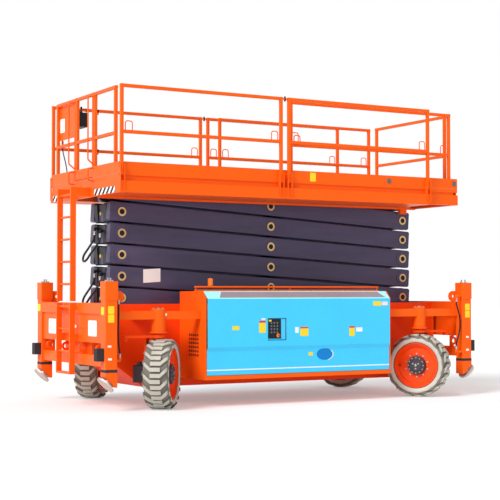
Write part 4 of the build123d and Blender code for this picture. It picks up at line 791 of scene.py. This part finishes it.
# Scissor arms: pins' hexagon nuts in the collars, blank plates
STAGES = 6
HALF_RUN = 2.365
ARM_FACE = 0.340
ARM_SLOPE = Vector((2 * HALF_RUN, 0.0, STAGE_RISE)).normalized()
for stage in range(1, STAGES + 1):
    pins = Builder()
    rear_z = BASE_PIN_Z + (stage - 1) * STAGE_RISE
    front_z = rear_z + STAGE_RISE
    for x, z in ((-HALF_RUN, rear_z), (0.0, (rear_z + front_z) / 2), (HALF_RUN, front_z)):
        for side in (1.0, -1.0):
            pins.ring((x, side * ARM_FACE, z), (0.0, side, 0.0),
                      ((0.0, 0.046), (0.0035, 0.046), (0.0045, 0.043), (0.0045, 0.020),
                       (0.0015, 0.019), (0.0015, 0.0)), 6)
    pins.done(f"pin_nuts_{stage}", f"outer_arm_{stage}", BLACK_PART)

# Legs: two bolts and two pins on each cap, blank plates
LEG_X = 2.904
LEG_Y = 1.143
CAP_TOP = 1.681
CAP_BOLT_OFF = 0.045
CAP_PIN_OFF = 0.04
caps = Builder()
for end in (1.0, -1.0):
    for side in (1.0, -1.0):
        for off in (-CAP_BOLT_OFF, CAP_BOLT_OFF):
            caps.bolt((end * LEG_X + off, side * LEG_Y, CAP_TOP), UP, 0.017, 0.018)
        for off in (-CAP_PIN_OFF, CAP_PIN_OFF):
            caps.ring((end * LEG_X, side * LEG_Y + off, CAP_TOP), UP,
                      ((0.0, 0.016), (0.010, 0.016), (0.012, 0.010), (0.034, 0.010), (0.036, 0.014),
                       (0.044, 0.014), (0.046, 0.0)), 16)
caps.done("leg_cap_bolts", "chassis", STEEL_PART, smooth=True)
LEG_FACE_Y = -1.2255
side_plates("leg_yellow_plates", "chassis", YELLOW_PLATE, LEG_FACE_Y,
            ((-2.955, -2.868, 1.150, 1.255), (-2.955, -2.868, 1.262, 1.362),
             (2.868, 2.955, 1.158, 1.258), (2.868, 2.955, 1.265, 1.366)))
LEG_REAR_X = -2.9865
rear_plates("leg_rear_plates", "chassis", YELLOW_PLATE, LEG_REAR_X,
            ((-1.171, -1.073, 1.249, 1.350), (1.107, 1.2255, 1.272, 1.372)))
side_plates("leg_white_plates", "chassis", WHITE_PLATE, LEG_FACE_Y,
            ((-2.958, -2.908, 0.832, 0.858), (-2.953, -2.900, 0.667, 0.694),
             (2.884, 2.934, 0.853, 0.880), (2.884, 2.936, 0.660, 0.688)))
END_PLATE_X = -2.9585
rear_plates("end_white_plates", "chassis", WHITE_PLATE, END_PLATE_X,
            ((-0.870, -0.585, 0.962, 1.170), (0.560, 0.850, 0.962, 1.170),
             (-0.178, -0.095, 1.060, 1.100)))
SIDE_BEAM_Y = -1.100
side_plates("beam_white_plates", "chassis", WHITE_PLATE, SIDE_BEAM_Y,
            ((-2.116, -2.054, 1.228, 1.260), (2.136, 2.198, 1.226, 1.258)))

# Tray's rear wall: vent plate, with thin black discs as painted shade for its round holes
TRAY_REAR_X = -1.546
VENT_PLATE = 0.003
rear_plates("vent_plate", "chassis", ORANGE_PART, TRAY_REAR_X, ((-1.060, -0.740, 0.640, 1.010),),
            VENT_PLATE)
vents = Builder()
for row in range(6):
    for column in range(5):
        vents.ring((TRAY_REAR_X - VENT_PLATE, -0.780 - column * 0.060, 0.690 + row * 0.054),
                   TO_REAR, ((0.0, 0.019), (0.0008, 0.019), (0.0008, 0.0)), 16)
vents.done("vent_hole_shade", "chassis", BLACK_PART)

# Plate on the third outer arm, along its slope
ARM_PLATE_X = -1.910
ARM_PLATE_Y = -0.334
arm_plate = Builder()
arm_z = BASE_PIN_Z + 2 * STAGE_RISE + STAGE_RISE * (HALF_RUN + ARM_PLATE_X) / (2 * HALF_RUN)
arm_plate.plate((ARM_PLATE_X, ARM_PLATE_Y, arm_z - 0.018), ARM_SLOPE, UP, 0.262, 0.185, PLATE,
                0.006)
arm_plate.done("arm_plate", "outer_arm_3", WHITE_PLATE)

# Blank tags on the inner arms' rear closing plates
for stage in range(2, STAGES + 1):
    z = BASE_PIN_Z + (stage - 1) * STAGE_RISE
    rear_plates(f"arm_tag_{stage}", f"inner_arm_{stage}", YELLOW_PLATE, ARM_BOX_X,
                ((0.022, 0.062, z - 0.035, z + 0.030),))

# Kingpin caps: a ring of six bolts and a middle cap on each
KINGPIN_X = 2.149
KINGPIN_Y = 1.038
KINGPIN_TOP = 1.319
KINGPIN_RING = 0.07
kingpins = Builder()
for end in (1.0, -1.0):
    for side in (1.0, -1.0):
        for angle in [k * pi / 3 for k in range(6)]:
            kingpins.bolt((end * KINGPIN_X + KINGPIN_RING * cos(angle),
                           side * KINGPIN_Y + KINGPIN_RING * sin(angle), KINGPIN_TOP),
                          UP, 0.011, 0.012)
        kingpins.ring((end * KINGPIN_X, side * KINGPIN_Y, KINGPIN_TOP), UP,
                      ((0.0, 0.034), (0.012, 0.034), (0.015, 0.028), (0.015, 0.0)), 24)
kingpins.done("kingpin_bolts", "chassis", STEEL_PART, smooth=True)


def both_ends(points, radius):
    """Each end of a hose with the point that follows it and the hose's radius."""
    return [(points[0], points[1], radius), (points[-1], points[-2], radius)]


# Hose crimps and hexagon nuts at every end
crimps = {f"inner_arm_{stage}": both_ends(points, ARM_HOSE_RADIUS)
          for stage, points in arm_hose_points.items()}
crimps["chassis"] = (both_ends(front_hose_points, LEG_HOSE_RADIUS)
                     + both_ends(rear_hose_points, LEG_HOSE_RADIUS))
for body, ends in crimps.items():
    builder = Builder()
    for start, following, radius in ends:
        along = Vector(following) - Vector(start)
        grip = radius * 1.28
        waist = grip * 0.92
        builder.ring(start, along, ((0.0, grip * 1.12), (0.014, grip * 1.12)), 6)
        builder.ring(Vector(start) + along.normalized() * 0.014, along,
                     ((0.0, grip * 0.95), (0.004, grip), (0.012, grip), (0.014, waist),
                      (0.017, waist), (0.019, grip), (0.027, grip), (0.029, waist), (0.032, waist),
                      (0.034, grip), (0.040, grip), (0.042, radius * 1.02)), 24)
    builder.done(f"hose_crimps_{body}", body, STEEL_PART, smooth=True)

# Wheel hubs: bolt ring, plugs and valve
HUB_RING_OUT = 0.150        # along the axle, from the wheel's middle
HUB_FACE_OUT = 0.166
HUB_BOLTS = 12
HUB_BOLT_CIRCLE = 0.112
HUB_PLUG_CIRCLE = 0.048
for corner in CORNERS:
    joint = joints[f"wheel_spin_{corner}"]
    side = 1.0 if "left" in corner else -1.0
    axis = Vector(joint["axis"]) * side
    centre = Vector(joint["pos_m"])
    across = axis.cross(Vector(UP)).normalized()
    hub = Builder()
    for angle in [2 * pi * k / HUB_BOLTS for k in range(HUB_BOLTS)]:
        radial = across * cos(angle) + Vector(UP) * sin(angle)
        hub.bolt(centre + axis * HUB_RING_OUT + radial * HUB_BOLT_CIRCLE, axis, 0.0075, 0.008)
    for angle in (0.5, 2.6, 4.7):
        radial = across * cos(angle) + Vector(UP) * sin(angle)
        hub.bolt(centre + axis * HUB_FACE_OUT + radial * HUB_PLUG_CIRCLE, axis, 0.010, 0.008)
    hub.ring(centre + axis * HUB_FACE_OUT, axis,
             ((0.0, 0.018), (0.004, 0.018), (0.006, 0.012), (0.006, 0.0)), 20)
    hub.done(f"hub_bolts_{corner}", f"wheel_{corner}", STEEL_PART)
    valve = Builder()
    valve_dir = (axis * 0.8 - across * 0.6).normalized()
    valve.ring(centre + axis * 0.105 + across * 0.262, valve_dir,
               ((0.0, 0.010), (0.010, 0.010), (0.012, 0.006), (0.040, 0.006), (0.042, 0.008),
                (0.052, 0.008), (0.054, 0.0)), 12)
    valve.done(f"valve_{corner}", f"wheel_{corner}", BLACK_PART, smooth=True)

# ---- Floor, backdrop and light ----------------------------------------------------
WORLD_LIGHT = 0.66
SUN_LIGHT = 2.6
SUN_FROM = (-0.90, -0.36, 0.80)
SUN_ANGLE = 0.45
FLOOR_GLOW = 0.3
FLOOR_COLOUR = (0.93, 0.93, 0.93, 1.0)
FLOOR_SIZE = 80.0
FLOOR_DROP = 0.001


def camera_sees(tree):
    """1 for camera, glossy and transmission rays."""
    path = tree.nodes.new("ShaderNodeLightPath")
    total = None
    for ray in ("Is Camera Ray", "Is Glossy Ray", "Is Transmission Ray"):
        if total is None:
            total = path.outputs[ray]
        else:
            node = tree.nodes.new("ShaderNodeMath")
            node.operation = "MAXIMUM"
            tree.links.new(total, node.inputs[0])
            tree.links.new(path.outputs[ray], node.inputs[1])
            total = node.outputs[0]
    return total


floor_look = Surface("floor_white")
floor_look.shader.inputs["Base Color"].default_value = FLOOR_COLOUR
floor_look.shader.inputs["Roughness"].default_value = 0.95
floor_look.shader.inputs["Specular IOR Level"].default_value = 0.0
glow = floor_look.tree.nodes.new("ShaderNodeEmission")
share = floor_look.math("MULTIPLY", camera_sees(floor_look.tree), FLOOR_GLOW)
blend = floor_look.tree.nodes.new("ShaderNodeMixShader")
output = next(node for node in floor_look.tree.nodes if node.type == "OUTPUT_MATERIAL")
floor_look.tree.links.new(share, blend.inputs[0])
floor_look.tree.links.new(floor_look.shader.outputs["BSDF"], blend.inputs[1])
floor_look.tree.links.new(glow.outputs["Emission"], blend.inputs[2])
floor_look.tree.links.new(blend.outputs["Shader"], output.inputs["Surface"])

floor_mesh = bpy.data.meshes.new("floor")
maker = bmesh.new()
bmesh.ops.create_grid(maker, x_segments=1, y_segments=1, size=FLOOR_SIZE)
maker.to_mesh(floor_mesh)
maker.free()
floor = bpy.data.objects.new("floor", floor_mesh)
floor.location = (0.0, 0.0, -FLOOR_DROP)
floor_mesh.materials.append(floor_look.mat)
bpy.context.scene.collection.objects.link(floor)

world = bpy.data.worlds.new("studio")
bpy.context.scene.world = world
world.use_nodes = True
background = world.node_tree.nodes["Background"]
background.inputs["Color"].default_value = (1.0, 1.0, 1.0, 1.0)
level = world.node_tree.nodes.new("ShaderNodeMapRange")
world.node_tree.links.new(camera_sees(world.node_tree), level.inputs["Value"])
level.inputs["To Min"].default_value = WORLD_LIGHT
level.inputs["To Max"].default_value = 1.0
world.node_tree.links.new(level.outputs["Result"], background.inputs["Strength"])

sun_data = bpy.data.lights.new("sun", "SUN")
sun_data.energy = SUN_LIGHT
sun_data.angle = SUN_ANGLE
sun = bpy.data.objects.new("sun", sun_data)
sun.matrix_world = Vector(SUN_FROM).to_track_quat("Z", "Y").to_matrix().to_4x4()
bpy.context.scene.collection.objects.link(sun)
bpy.context.scene.view_settings.view_transform = "Standard"
